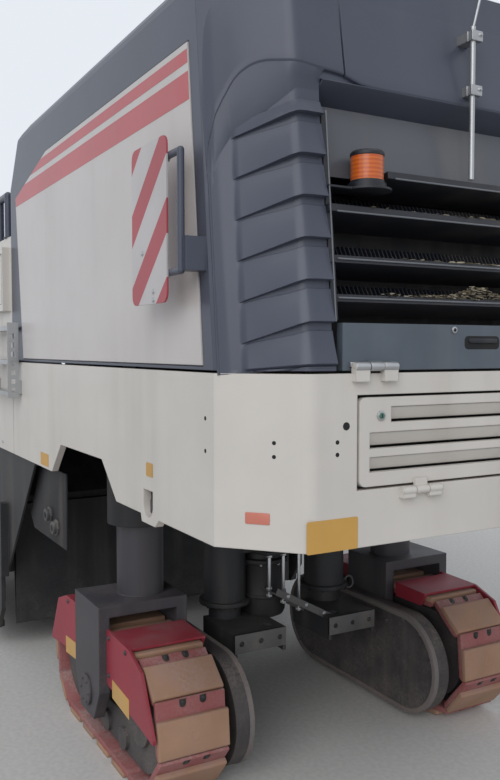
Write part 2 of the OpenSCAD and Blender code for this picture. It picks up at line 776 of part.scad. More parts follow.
module tank_shell() intersection() {
    side_view(-body_half_w, body_half_w) polygon([[front_s, tank_z], [front_face_s - 40, tank_z],
        [front_face_s - 60, 1960], [front_face_s - 420, 2300], [front_face_s - 900, tank_top_z],
        [front_s, tank_top_z + 60]]);
    translate([0, 0, tank_z]) linear_extrude(900) front_plan(8);
    rear_view(front_s - 10, front_face_s + 10) tank_section();
}

module tank_section() {
    w = body_half_w - 6;
    top = tank_top_z + 60;
    r = 110;
    half = concat(arc(w - r, top - r, r, 90, 0, 4), [[w, tank_z]]);
    polygon(concat(half, [for (i = [len(half) - 1:-1:0]) [-half[i][0], half[i][1]]]));
}

// Drum housing: a box open downwards, closed by end walls, with wings up to the skirts
housing_half_l = 830;
wing_top_l = 1598;
wing_foot_l = 926;
wing_foot_z = 510;
housing_wall = 20;
housing_end_y = drum_w / 2 + 26;
wing_y = housing_end_y + housing_wall;
housing_z = 480;
bearing_r = 130;
feeder_half_w = 450;
mouth_half_w = feeder_half_w + 6;

function housing_profile(inset) = [
    [drum_s - housing_half_l + inset, housing_z - (inset > 0 ? 5 : 0)],
    [drum_s - housing_half_l + inset, 940],
    [drum_s - 520 + inset * 0.5, skirt_z + 8 - inset],
    [drum_s + 520 - inset * 0.5, skirt_z + 8 - inset],
    [drum_s + housing_half_l - inset, 940],
    [drum_s + housing_half_l - inset, housing_z - (inset > 0 ? 5 : 0)]];

module drum_housing() color(steel) {
    difference() {
        side_view(-wing_y, wing_y) polygon(housing_profile(0));
        side_view(-housing_end_y, housing_end_y) polygon(housing_profile(housing_wall));
        cross_bar(drum_s, drum_z, bearing_r + 0.08, -wing_y - 5, wing_y + 5);
        // mouth towards the primary conveyor
        bar(drum_s + 500, drum_s + housing_half_l + 5, -mouth_half_w, mouth_half_w, 540, 1010);
    }
    // wings that close the space under the skirts
    both_sides() side_view(wing_y, body_half_w - body_wall) difference() {
        polygon([[drum_s - wing_top_l, skirt_z - 4], [drum_s - wing_foot_l, wing_foot_z],
            [drum_s - housing_half_l, housing_z], [drum_s + housing_half_l, housing_z],
            [drum_s + wing_foot_l, wing_foot_z], [drum_s + wing_top_l, skirt_z - 4]]);
        translate([drum_s, drum_z]) circle(r = bearing_r + 20);
    }
    for (s = [drum_s - 500, drum_s + 500]) for (side = sides)
        bar(s - 60, s + 60, side * beam_y - 50, side * beam_y + 50, skirt_z, beam_z);
    // scraper blade that closes the housing behind the drum
    side_view(-housing_end_y + 30, housing_end_y - 30)
        polygon([[drum_s - housing_half_l - 40, 170], [drum_s - housing_half_l - 20, 160],
            [drum_s - housing_half_l + 1, 480], [drum_s - housing_half_l + 1, 900],
            [drum_s - housing_half_l - 40, 900]]);
    // guide posts of the edge plates
    both_sides() for (s = [plate_s[0] - guide_gap - 60, plate_s[1] + guide_gap])
        bar(s, s + 60, body_half_w - body_wall, plate_y + plate_t + 12, housing_z + 10, 930);
}

// Drum tube with pick holders set on helices that carry the millings to the middle
module milling_drum() color([0.36, 0.30, 0.26]) translate([drum_s, 0, drum_z]) {
    rotate([90, 0, 0]) cylinder(r = drum_tube_r, h = drum_w, center = true);
    rotate([90, 0, 0]) cylinder(r = bearing_r, h = 2 * wing_y - 4, center = true);
    for (side = sides) for (start = [0:pick_starts - 1]) for (row = [0:pick_rows - 1])
        translate([0, side * (row + 0.5) * (drum_w / 2 - 20) / pick_rows, 0])
            rotate([0, side * (start * 360 / pick_starts + row * pick_wrap / pick_rows), 0]) pick();
}

// A holder with its pick leaning into the cut
module pick() {
    tip = drum_r;
    translate([-10, -20, 0]) rotate([90, 0, 0]) translate([0, 0, -40])
        linear_extrude(40) polygon([[-70, drum_tube_r - 30], [62, drum_tube_r - 30], [44, tip - 52], [34, tip],
            [22, tip - 4], [-6, tip - 52]]);
}

plate_s = [drum_s - 900, drum_s + 900];
plate_z = 130;
plate_top_z = 620;
plate_t = 25;
guide_gap = 0.3;
plate_y = body_half_w - body_wall + 8;

// Edge plate that slides up and down on the outside of the drum housing
module side_plate() {
    side_view(plate_y, plate_y + plate_t) polygon([[plate_s[0] + 120, plate_z], [plate_s[1] - 120, plate_z],
        [plate_s[1], plate_z + 150], [plate_s[1], plate_top_z], [plate_s[0], plate_top_z],
        [plate_s[0], plate_z + 150]]);
    bar(plate_s[0] + 130, plate_s[1] - 130, plate_y - 20, plate_y + plate_t + 35, plate_z, plate_z + 40);
    for (s = [plate_s[0] + 150, plate_s[1] - 150])
        bar(s - 30, s + 30, plate_y, plate_y + plate_t + 30, plate_top_z - 80, plate_top_z + 20);
}

module side_plate_left() color(steel) side_plate();
module side_plate_right() color(steel) mirror([0, 1, 0]) side_plate();

feeder_rise = 20;
feeder_l = 2560;
feeder_z = 700;

// Primary conveyor between the beams, from the drum to the nose
module primary_conveyor() color(steel)
    translate([drum_s + housing_half_l + 4, 0, feeder_z]) rotate([0, -feeder_rise, 0]) {
        difference() {
            bar(0, feeder_l, -feeder_half_w, feeder_half_w, -140, 190);
            bar(-5, feeder_l + 5, -feeder_half_w + 40, feeder_half_w - 40, -100, 150);
        }
        bar(5, feeder_l - 10, -feeder_half_w + 40, feeder_half_w - 40, -60, 20);
        bar(feeder_l - 420, feeder_l - 360, -beam_y + beam_w / 2, beam_y - beam_w / 2, -30, 40);
    }

fork_y = shoe_w / 2 + 8;
track_pin_r = 60;
guard_t = 84;
guard_r = 245;

// Yoke that straddles the track, with the column that rises into the guide tube
module yoke(s) translate([s, track_y, 0]) {
    bar(-yoke_l / 2, yoke_l / 2, -fork_y - yoke_t, fork_y + yoke_t, yoke_top_z - yoke_t, yoke_top_z);
    for (y = [-fork_y - yoke_t, fork_y])
        side_view(y, y + yoke_t) difference() {
            polygon([[-yoke_l / 2, yoke_top_z], [yoke_l / 2, yoke_top_z], [yoke_l / 2, 330],
                [90, 190], [-90, 190], [-yoke_l / 2, 330]]);
            translate([0, track_r]) circle(r = track_pin_r + 0.06);
        }
    translate([0, -column_in, yoke_top_z - 10]) cylinder(r = column_r, h = guide_top - yoke_top_z);
}

module at_track(s) translate([s, track_y, track_r]) children();

module racetrack(r) {
    for (x = [-track_a, track_a]) translate([x, 0]) circle(r = r);
    translate([-track_a, -r]) square([2 * track_a, 2 * r]);
}

frame_gap = 0.3;
hub_r = 112;
hub_y = 126;
wheel_r = 50;
roller_gap = 5;
roller_step = 215;

// Track frame with its wheels, inner guard and cross pin
module track_frame(s) at_track(s) {
    side_view(-70, 70) racetrack(chain_r - frame_gap - 20);
    side_view(-110, 110) difference() {
        racetrack(chain_r - frame_gap);
        translate([-track_a, -60]) square([2 * track_a, 120]);
    }
    // sprocket and idler hubs, and the lower rollers
    for (x = [-track_a, track_a]) side_view(-hub_y, hub_y) translate([x, 0]) circle(r = hub_r, $fn = 32);
    for (x = [-roller_step, 0, roller_step]) side_view(-hub_y, hub_y)
        translate([x, roller_gap + wheel_r - chain_r]) circle(r = wheel_r, $fn = 24);
    // motor guard on the inner side
    side_view(-fork_y - yoke_t - guard_t, -fork_y - yoke_t) translate([0, -20]) racetrack(guard_r);
    cross_bar(0, 0, track_pin_r, -fork_y - yoke_t - 1, fork_y + yoke_t);
}

loop_l = 4 * track_a + 2 * PI * plate_r;

// Place and turn of a point on the track's path, by its share of the loop
function loop_at(d) =
    d < 2 * track_a ? [d - track_a, -plate_r, 0]
    : d < 2 * track_a + PI * plate_r ? turn_at((d - 2 * track_a) / plate_r * 180 / PI, track_a, 0)
    : d < 4 * track_a + PI * plate_r ? [3 * track_a + PI * plate_r - d, plate_r, 180]
    : turn_at((d - 4 * track_a - PI * plate_r) / plate_r * 180 / PI, -track_a, 180);
function turn_at(a, x, from) = [x + plate_r * sin(a + from), -plate_r * cos(a + from), a + from];

// A point beside the path: along the path, and out from it
function beside(p, along, out) = [p[0] + along * cos(p[2]) + out * sin(p[2]),
    p[1] + along * sin(p[2]) - out * cos(p[2])];

// Outline of one pad with its rounded leading edges
function pad_outline(p) = [beside(p, -pad_l / 2, 0), beside(p, -pad_l / 2, pad_t - pad_edge),
    beside(p, -pad_l / 2 + pad_edge, pad_t), beside(p, pad_l / 2 - pad_edge, pad_t),
    beside(p, pad_l / 2, pad_t - pad_edge), beside(p, pad_l / 2, 0)];
pad_edge = 6;
shoe_phase = 0.88;

// Loop of shoes: pads on a closed chain
module track_shoes(s) at_track(s) side_view(-shoe_w / 2, shoe_w / 2) intersection() {
    difference() {
        polygon([for (i = [0:shoe_n - 1]) each pad_outline(loop_at((i + shoe_phase) * loop_l / shoe_n))]);
        racetrack(chain_r);
    }
    translate([-track_l, -track_r]) square([2 * track_l, 2 * track_r]);
}

cover_t = 14;

// Red covers beside and over the track, fore and aft of the yoke
module track_cover(s) translate([s, track_y, 0]) {
    y = shoe_w / 2 + 9;
    for (end = [1, -1]) mirror([end < 0 ? 1 : 0, 0, 0]) {
        side_view(y, y + cover_t) polygon([[yoke_l / 2, 372], [690, 316], [692, 334], [568, 559], [432, 608],
            [yoke_l / 2, 614]]);
        side_view(-y - cover_t, y + cover_t)
            polygon([[yoke_l / 2 + 37, 600], [430, 596], [432, 608], [yoke_l / 2 + 37, 613]]);
        side_view(-y - cover_t, -y) polygon([[yoke_l / 2 + 37, 540], [400, 540], [432, 596], [432, 608],
            [yoke_l / 2 + 37, 613]]);
    }
}

module yoke_rear_left() color(dark) yoke(rear_track_s);
module yoke_rear_right() color(dark) mirror([0, 1, 0]) yoke(rear_track_s);
module yoke_front_left() color(dark) yoke(front_track_s);
module yoke_front_right() color(dark) mirror([0, 1, 0]) yoke(front_track_s);
module track_frame_rear_left() color(steel) track_frame(rear_track_s);
module track_frame_rear_right() color(steel) mirror([0, 1, 0]) track_frame(rear_track_s);
module track_frame_front_left() color(steel) track_frame(front_track_s);
module track_frame_front_right() color(steel) mirror([0, 1, 0]) track_frame(front_track_s);
module track_cover_rear_left() color("firebrick") track_cover(rear_track_s);
module track_cover_rear_right() color("firebrick") mirror([0, 1, 0]) track_cover(rear_track_s);
module track_cover_front_left() color("firebrick") track_cover(front_track_s);
module track_cover_front_right() color("firebrick") mirror([0, 1, 0]) track_cover(front_track_s);
module track_shoes_rear_left() color("burlywood") track_shoes(rear_track_s);
module track_shoes_rear_right() color("burlywood") mirror([0, 1, 0]) track_shoes(rear_track_s);
module track_shoes_front_left() color("burlywood") track_shoes(front_track_s);
module track_shoes_front_right() color("burlywood") mirror([0, 1, 0]) track_shoes(front_track_s);

cheek_y = trough_w / 2 + 110;
cheek_t = 40;
lift_pin_r = 40;
barrel_r = 50;
rod_r = 28;
cyl_y = cheek_y + cheek_t + barrel_r + 6;
mast_s = slew_s + 190;
mast_top_z = lift_z + mast_h;
mast_pin_r = 25;
turret_z = nose_top_z + 8;

// Turntable with the cheeks that carry the conveyor and the mast of the lift cylinders
module conveyor_turret() color(dark) {
    translate([slew_s, 0, nose_top_z - nose_h]) cylinder(r = slew_pin_r, h = nose_h + 20);
    translate([slew_s, 0, nose_top_z + 0.3]) cylinder(r = nose_r - 20, h = 20);
    bar(slew_s - 160, slew_s + 260, -cheek_y - cheek_t, cheek_y + cheek_t, turret_z, turret_z + 30);
    both_sides() {
        difference() {
            side_view(cheek_y, cheek_y + cheek_t) polygon([[slew_s - 160, turret_z], [slew_s + 260, turret_z],
                [mast_s + 60, mast_top_z - 200], [mast_s + 50, mast_top_z + 50], [mast_s - 50, mast_top_z + 50],
                [mast_s - 60, lift_z + 240], [slew_s - 120, lift_z + 40]]);
            cross_bar(slew_s, lift_z, lift_pin_r + 0.08, cheek_y - 5, cheek_y + cheek_t + 5);
        }
        cross_bar(mast_s, mast_top_z, mast_pin_r, cheek_y + cheek_t - 5, cyl_y + 34);
    }
    bar(mast_s - 40, mast_s + 40, -cheek_y, cheek_y, mast_top_z - 40, mast_top_z + 40);
}

module at_boom() translate([slew_s, 0, lift_z]) rotate([0, -boom_rise, 0]) children();

tail_r = trough_w / 2 + trough_t;
tail_x = -60;
head_x = boom_l - 90;
roller_r = 48;
belt_t = 14;
belt_z = trough_low_z + trough_t + roller_r + belt_t;

rib_start = 560;
rib_step = 790;
rib_w = 40;
rib_h = 24;

// Trough of the loading conveyor, with its round receiving hopper
module loading_conveyor() color(cream) at_boom() {
    difference() {
        union() {
            bar(0, boom_l, -tail_r, tail_r, trough_low_z, trough_low_z + trough_h);
            translate([0, 0, trough_low_z]) cylinder(r = tail_r, h = trough_h);
        }
        translate([0, 0, trough_low_z + trough_t]) cylinder(r = trough_w / 2, h = trough_h);
        bar(0, boom_l + 10, -trough_w / 2, trough_w / 2, trough_low_z + trough_t, trough_low_z + trough_h + 5);
    }
    both_sides() {
        // stiffeners of the trough's sides
        for (x = [rib_start:rib_step:boom_l - rib_w]) bar(x, x + rib_w, tail_r - 2, tail_r + rib_h,
            trough_low_z, trough_low_z + trough_h - 12);
        // eye block of the lift cylinder, and the trunnion in the turret's cheek
        bar(eye_l - 60, eye_l + 60, tail_r - 4, cyl_y - rod_r - 6, -50, 50);
        cross_bar(0, 0, lift_pin_r, tail_r - 5, cheek_y + cheek_t);
        cross_bar(0, 0, 90, tail_r - 5, cheek_y - 3);
    }
}

module conveyor_belt() color([0.1, 0.1, 0.1]) at_boom() {
    side_view(-trough_w / 2 + 25, trough_w / 2 - 25) difference() {
        belt_outline(roller_r + belt_t);
        belt_outline(roller_r);
    }
    cross_bar(head_x, belt_z, roller_r, -trough_w / 2, trough_w / 2);
    cross_bar(tail_x, belt_z, roller_r, -trough_w / 2 + 25, trough_w / 2 - 25);
}

module belt_outline(r) {
    for (x = [tail_x, head_x]) translate([x, belt_z]) circle(r = r);
    translate([tail_x, belt_z - r]) square([head_x - tail_x, 2 * r]);
}

// The lift cylinders run from the mast's top down to the conveyor's eye blocks
eye_at = [slew_s + eye_l * cos(boom_rise), lift_z + eye_l * sin(boom_rise)];
cyl_run = [eye_at[0] - mast_s, eye_at[1] - mast_top_z];
cyl_l = norm(cyl_run);
cyl_dir = atan2(cyl_run[1], cyl_run[0]);
barrel_l = cyl_l * 0.58;
rod_start = 460;

module at_cylinder() translate([mast_s, cyl_y, mast_top_z]) rotate([0, -cyl_dir, 0]) children();

module lift_barrels() color(dark) both_sides() at_cylinder() difference() {
    union() {
        rotate([90, 0, 0]) cylinder(r = 55, h = 44, center = true);
        translate([30, 0, 0]) rotate([0, 90, 0]) cylinder(r = barrel_r, h = barrel_l - 30);
    }
    rotate([90, 0, 0]) cylinder(r = mast_pin_r + 0.08, h = 110, center = true);
    translate([80, 0, 0]) rotate([0, 90, 0]) cylinder(r = rod_r + 0.08, h = barrel_l);
}

module lift_rods() color("silver") both_sides() at_cylinder() {
    translate([rod_start, 0, 0]) rotate([0, 90, 0]) cylinder(r = rod_r, h = cyl_l - rod_start - 20);
    translate([cyl_l, 0, 0]) rotate([90, 0, 0]) cylinder(r = 48, h = 44, center = true);
}

at_rear() main_frame();
at_rear() rear_body();
at_rear() engine_block();
at_rear() rear_brackets();
at_rear() platform_deck();
at_rear() platform_walls();
at_rear() rails();
at_rear() ladders();
at_rear() consoles();
at_rear() seats();
at_rear() front_body();
at_rear() water_tank();
at_rear() drum_housing();
at_rear() primary_conveyor();
at_rear() hood();
at_rear() side_panels();
at_rear() warning_boards();
at_rear() beacon_pole();
at_rear() grille();
at_rear() beacon();
at_rear() rear_flap();
at_rear() louvre_flap();
at_rear() milling_drum();
at_rear() side_plate_left();
at_rear() side_plate_right();
at_rear() yoke_rear_left();
at_rear() yoke_rear_right();
at_rear() yoke_front_left();
at_rear() yoke_front_right();
at_rear() track_frame_rear_left();
at_rear() track_frame_rear_right();
at_rear() track_frame_front_left();
at_rear() track_frame_front_right();
at_rear() track_cover_rear_left();
at_rear() track_cover_rear_right();
at_rear() track_cover_front_left();
at_rear() track_cover_front_right();
at_rear() track_shoes_rear_left();
at_rear() track_shoes_rear_right();
at_rear() track_shoes_front_left();
at_rear() track_shoes_front_right();
at_rear() conveyor_turret();
at_rear() loading_conveyor();
at_rear() conveyor_belt();
at_rear() lift_barrels();
at_rear() lift_rods();
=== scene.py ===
import math
import random

import bmesh
import bpy
from mathutils import Matrix, Vector


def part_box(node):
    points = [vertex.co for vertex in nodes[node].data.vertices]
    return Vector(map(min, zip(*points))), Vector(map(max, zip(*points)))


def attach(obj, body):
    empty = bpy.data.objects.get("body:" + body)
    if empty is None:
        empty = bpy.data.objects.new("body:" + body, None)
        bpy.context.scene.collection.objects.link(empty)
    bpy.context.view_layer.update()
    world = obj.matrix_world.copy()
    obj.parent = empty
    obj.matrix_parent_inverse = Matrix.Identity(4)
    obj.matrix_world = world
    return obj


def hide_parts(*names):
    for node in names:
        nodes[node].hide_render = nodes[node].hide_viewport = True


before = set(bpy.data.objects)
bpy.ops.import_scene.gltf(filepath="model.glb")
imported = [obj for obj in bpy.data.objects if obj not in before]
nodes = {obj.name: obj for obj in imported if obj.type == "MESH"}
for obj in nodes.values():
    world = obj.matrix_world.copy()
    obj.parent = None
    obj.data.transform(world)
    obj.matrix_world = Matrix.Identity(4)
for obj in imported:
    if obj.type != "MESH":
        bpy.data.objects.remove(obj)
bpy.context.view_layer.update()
print("frame loaded,", len(nodes), "nodes")

# stations run forward from the rear face, as on the drawing
hingeProud = 0.024
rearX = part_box("rear_body")[0].x + hingeProud
splitZ = 1.769


def at(station, y, z):
    return Vector((rearX + station, y, z))


def newGroup(name, inputs, outputs):
    group = bpy.data.node_groups.new(name, "ShaderNodeTree")
    for label, kind, value in inputs:
        socket = group.interface.new_socket(label, in_out="INPUT", socket_type=kind)
        if value is not None:
            socket.default_value = value
    for label, kind in outputs:
        group.interface.new_socket(label, in_out="OUTPUT", socket_type=kind)
    return group, group.nodes.new("NodeGroupInput"), group.nodes.new("NodeGroupOutput")


def feed(tree, socket, value):
    # a number or a colour is set, and an output is linked
    if isinstance(value, (int, float)):
        socket.default_value = value
    elif isinstance(value, tuple):
        socket.default_value = (*value, 1.0)
    else:
        tree.links.new(value, socket)


def mathNode(tree, operation, a, b, clamp=False):
    node = tree.nodes.new("ShaderNodeMath")
    node.operation = operation
    node.use_clamp = clamp
    for socket, value in zip(node.inputs, (a, b)):
        feed(tree, socket, value)
    return node.outputs[0]


def rampNode(tree, fac, low, high):
    node = tree.nodes.new("ShaderNodeMapRange")
    node.interpolation_type = "SMOOTHSTEP"
    for label, value in (("Value", fac), ("From Min", low), ("From Max", high)):
        feed(tree, node.inputs[label], value)
    return node.outputs["Result"]


def noiseNode(tree, scale, detail=4.0, stretch=None):
    coords = tree.nodes.new("ShaderNodeTexCoord")
    source = coords.outputs["Object"]
    if stretch:
        mapping = tree.nodes.new("ShaderNodeMapping")
        mapping.inputs["Scale"].default_value = stretch
        tree.links.new(source, mapping.inputs["Vector"])
        source = mapping.outputs["Vector"]
    node = tree.nodes.new("ShaderNodeTexNoise")
    for label, value in (("Vector", source), ("Scale", scale), ("Detail", detail)):
        feed(tree, node.inputs[label], value)
    return node.outputs["Fac"]


def buildDustGroup():
    # dust lies on faces that look up and thickens towards the ground
    group, inside, outside = newGroup(
        "Settled dust",
        [
            ("Amount", "NodeSocketFloat", 0.4),
            ("Scale", "NodeSocketFloat", 6.0),
            ("Low", "NodeSocketFloat", 0.2),
            ("High", "NodeSocketFloat", 1.6),
        ],
        [("Mask", "NodeSocketFloat")],
    )
    geometry = group.nodes.new("ShaderNodeNewGeometry")
    split = group.nodes.new("ShaderNodeSeparateXYZ")
    group.links.new(geometry.outputs["Normal"], split.inputs[0])
    up = rampNode(group, split.outputs["Z"], 0.25, 0.95)
    coords = group.nodes.new("ShaderNodeTexCoord")
    place = group.nodes.new("ShaderNodeSeparateXYZ")
    group.links.new(coords.outputs["Object"], place.inputs[0])
    above = rampNode(group, place.outputs["Z"], inside.outputs["Low"], inside.outputs["High"])
    height = mathNode(group, "SUBTRACT", 1.0, above)
    patches = rampNode(group, noiseNode(group, inside.outputs["Scale"]), 0.35, 0.7)
    fine = rampNode(group, noiseNode(group, 90.0, 6.0), 0.3, 0.75)
    lying = mathNode(group, "MULTIPLY", up, 0.75)
    low = mathNode(group, "MULTIPLY", height, 0.65)
    settled = mathNode(group, "ADD", lying, low)
    broken = mathNode(group, "MULTIPLY", settled, mathNode(group, "ADD", patches, 0.35))
    grain = mathNode(group, "MULTIPLY", broken, mathNode(group, "ADD", fine, 0.45))
    mask = mathNode(group, "MULTIPLY", grain, inside.outputs["Amount"], clamp=True)
    group.links.new(mask, outside.inputs["Mask"])
    return group


def buildWearGroup():
    # rubbed edges, and a softened normal that rounds the sharp ones
    group, inside, outside = newGroup(
        "Edge wear",
        [
            ("Radius", "NodeSocketFloat", 0.006),
            ("Amount", "NodeSocketFloat", 0.5),
            ("Scale", "NodeSocketFloat", 14.0),
        ],
        [("Mask", "NodeSocketFloat"), ("Normal", "NodeSocketVector")],
    )
    bevel = group.nodes.new("ShaderNodeBevel")
    bevel.samples = 4
    group.links.new(inside.outputs["Radius"], bevel.inputs["Radius"])
    geometry = group.nodes.new("ShaderNodeNewGeometry")
    dot = group.nodes.new("ShaderNodeVectorMath")
    dot.operation = "DOT_PRODUCT"
    group.links.new(bevel.outputs["Normal"], dot.inputs[0])
    group.links.new(geometry.outputs["Normal"], dot.inputs[1])
    edge = mathNode(group, "SUBTRACT", 1.0, rampNode(group, dot.outputs["Value"], 0.82, 0.995))
    chips = rampNode(group, noiseNode(group, inside.outputs["Scale"], 8.0), 0.45, 0.62)
    chipped = mathNode(group, "MULTIPLY", edge, chips)
    mask = mathNode(group, "MULTIPLY", chipped, inside.outputs["Amount"], clamp=True)
    group.links.new(mask, outside.inputs["Mask"])
    group.links.new(bevel.outputs["Normal"], outside.inputs["Normal"])
    return group


def buildStreakGroup():
    # dirt that rain has drawn down the upright faces, with cloudy patches between
    group, inside, outside = newGroup(
        "Rain streaks",
        [("Amount", "NodeSocketFloat", 0.3), ("Scale", "NodeSocketFloat", 9.0)],
        [("Mask", "NodeSocketFloat"), ("Height", "NodeSocketFloat")],
    )
    drawn = noiseNode(group, inside.outputs["Scale"], 5.0, (1.0, 1.0, 0.06))
    streaks = rampNode(group, drawn, 0.42, 0.78)
    clouds = rampNode(group, noiseNode(group, 1.7, 5.0), 0.32, 0.7)
    fine = noiseNode(group, 220.0, 3.0)
    patchy = mathNode(group, "MULTIPLY", streaks, clouds)
    mask = mathNode(group, "MULTIPLY", patchy, inside.outputs["Amount"], clamp=True)
    group.links.new(mask, outside.inputs["Mask"])
    group.links.new(fine, outside.inputs["Height"])
    return group


dustGroup = buildDustGroup()
wearGroup = buildWearGroup()
streakGroup = buildStreakGroup()


def placeGroup(tree, group, values):
    node = tree.nodes.new("ShaderNodeGroup")
    node.node_tree = group
    for label, value in values.items():
        node.inputs[label].default_value = value
    return node


def mixNode(tree, kind, mask, under, over):
    node = tree.nodes.new("ShaderNodeMix")
    node.data_type = kind
    for label, value in (("Factor", mask), ("A", under), ("B", over)):
        feed(tree, node.inputs[label], value)
    return node.outputs["Result"]


def blankMaterial(name):
    material = bpy.data.materials.new(name)
    material.use_nodes = True
    tree = material.node_tree
    return material, tree, tree.nodes["Principled BSDF"]


def wornFinish(
    name,
    colour,
    rough=0.4,
    metal=0.0,
    coat=0.0,
    gloss=0.5,
    shade=0.12,
    dustColour=(0.42, 0.38, 0.33),
    dust=0.5,
    dustScale=6.0,
    dustHigh=1.3,
    wearColour=(0.3, 0.28, 0.26),
    wear=0.4,
    wearScale=14.0,
    streakColour=(0.2, 0.17, 0.14),
    streak=0.25,
    streakScale=9.0,
    edge=0.005,
    bump=0.06,
):
    material, tree, shader = blankMaterial(name)
    tint = rampNode(tree, noiseNode(tree, 3.1, 6.0), 0.3, 0.72)
    darker = tuple(c * (1.0 - shade) for c in colour)
    base = mixNode(tree, "RGBA", tint, darker, colour)
    streaks = placeGroup(tree, streakGroup, {"Amount": streak, "Scale": streakScale})
    rubbed = placeGroup(tree, wearGroup, {"Radius": edge, "Amount": wear, "Scale": wearScale})
    settled = placeGroup(
        tree, dustGroup, {"Amount": dust, "Scale": dustScale, "Low": 0.1, "High": dustHigh}
    )
    base = mixNode(tree, "RGBA", streaks.outputs["Mask"], base, streakColour)
    base = mixNode(tree, "RGBA", rubbed.outputs["Mask"], base, wearColour)
    base = mixNode(tree, "RGBA", settled.outputs["Mask"], base, dustColour)
    tree.links.new(base, shader.inputs["Base Color"])
    roughness = mixNode(tree, "FLOAT", streaks.outputs["Mask"], rough, min(1.0, rough + 0.25))
    roughness = mixNode(tree, "FLOAT", settled.outputs["Mask"], roughness, 0.92)
    tree.links.new(roughness, shader.inputs["Roughness"])
    shader.inputs["Metallic"].default_value = metal
    shader.inputs["Specular IOR Level"].default_value = gloss
    shader.inputs["Coat Weight"].default_value = coat
    shader.inputs["Coat Roughness"].default_value = 0.12
    relief = tree.nodes.new("ShaderNodeBump")
    relief.inputs["Strength"].default_value = bump
    relief.inputs["Distance"].default_value = 0.002
    tree.links.new(streaks.outputs["Height"], relief.inputs["Height"])
    tree.links.new(rubbed.outputs["Normal"], relief.inputs["Normal"])
    tree.links.new(relief.outputs["Normal"], shader.inputs["Normal"])
    return material


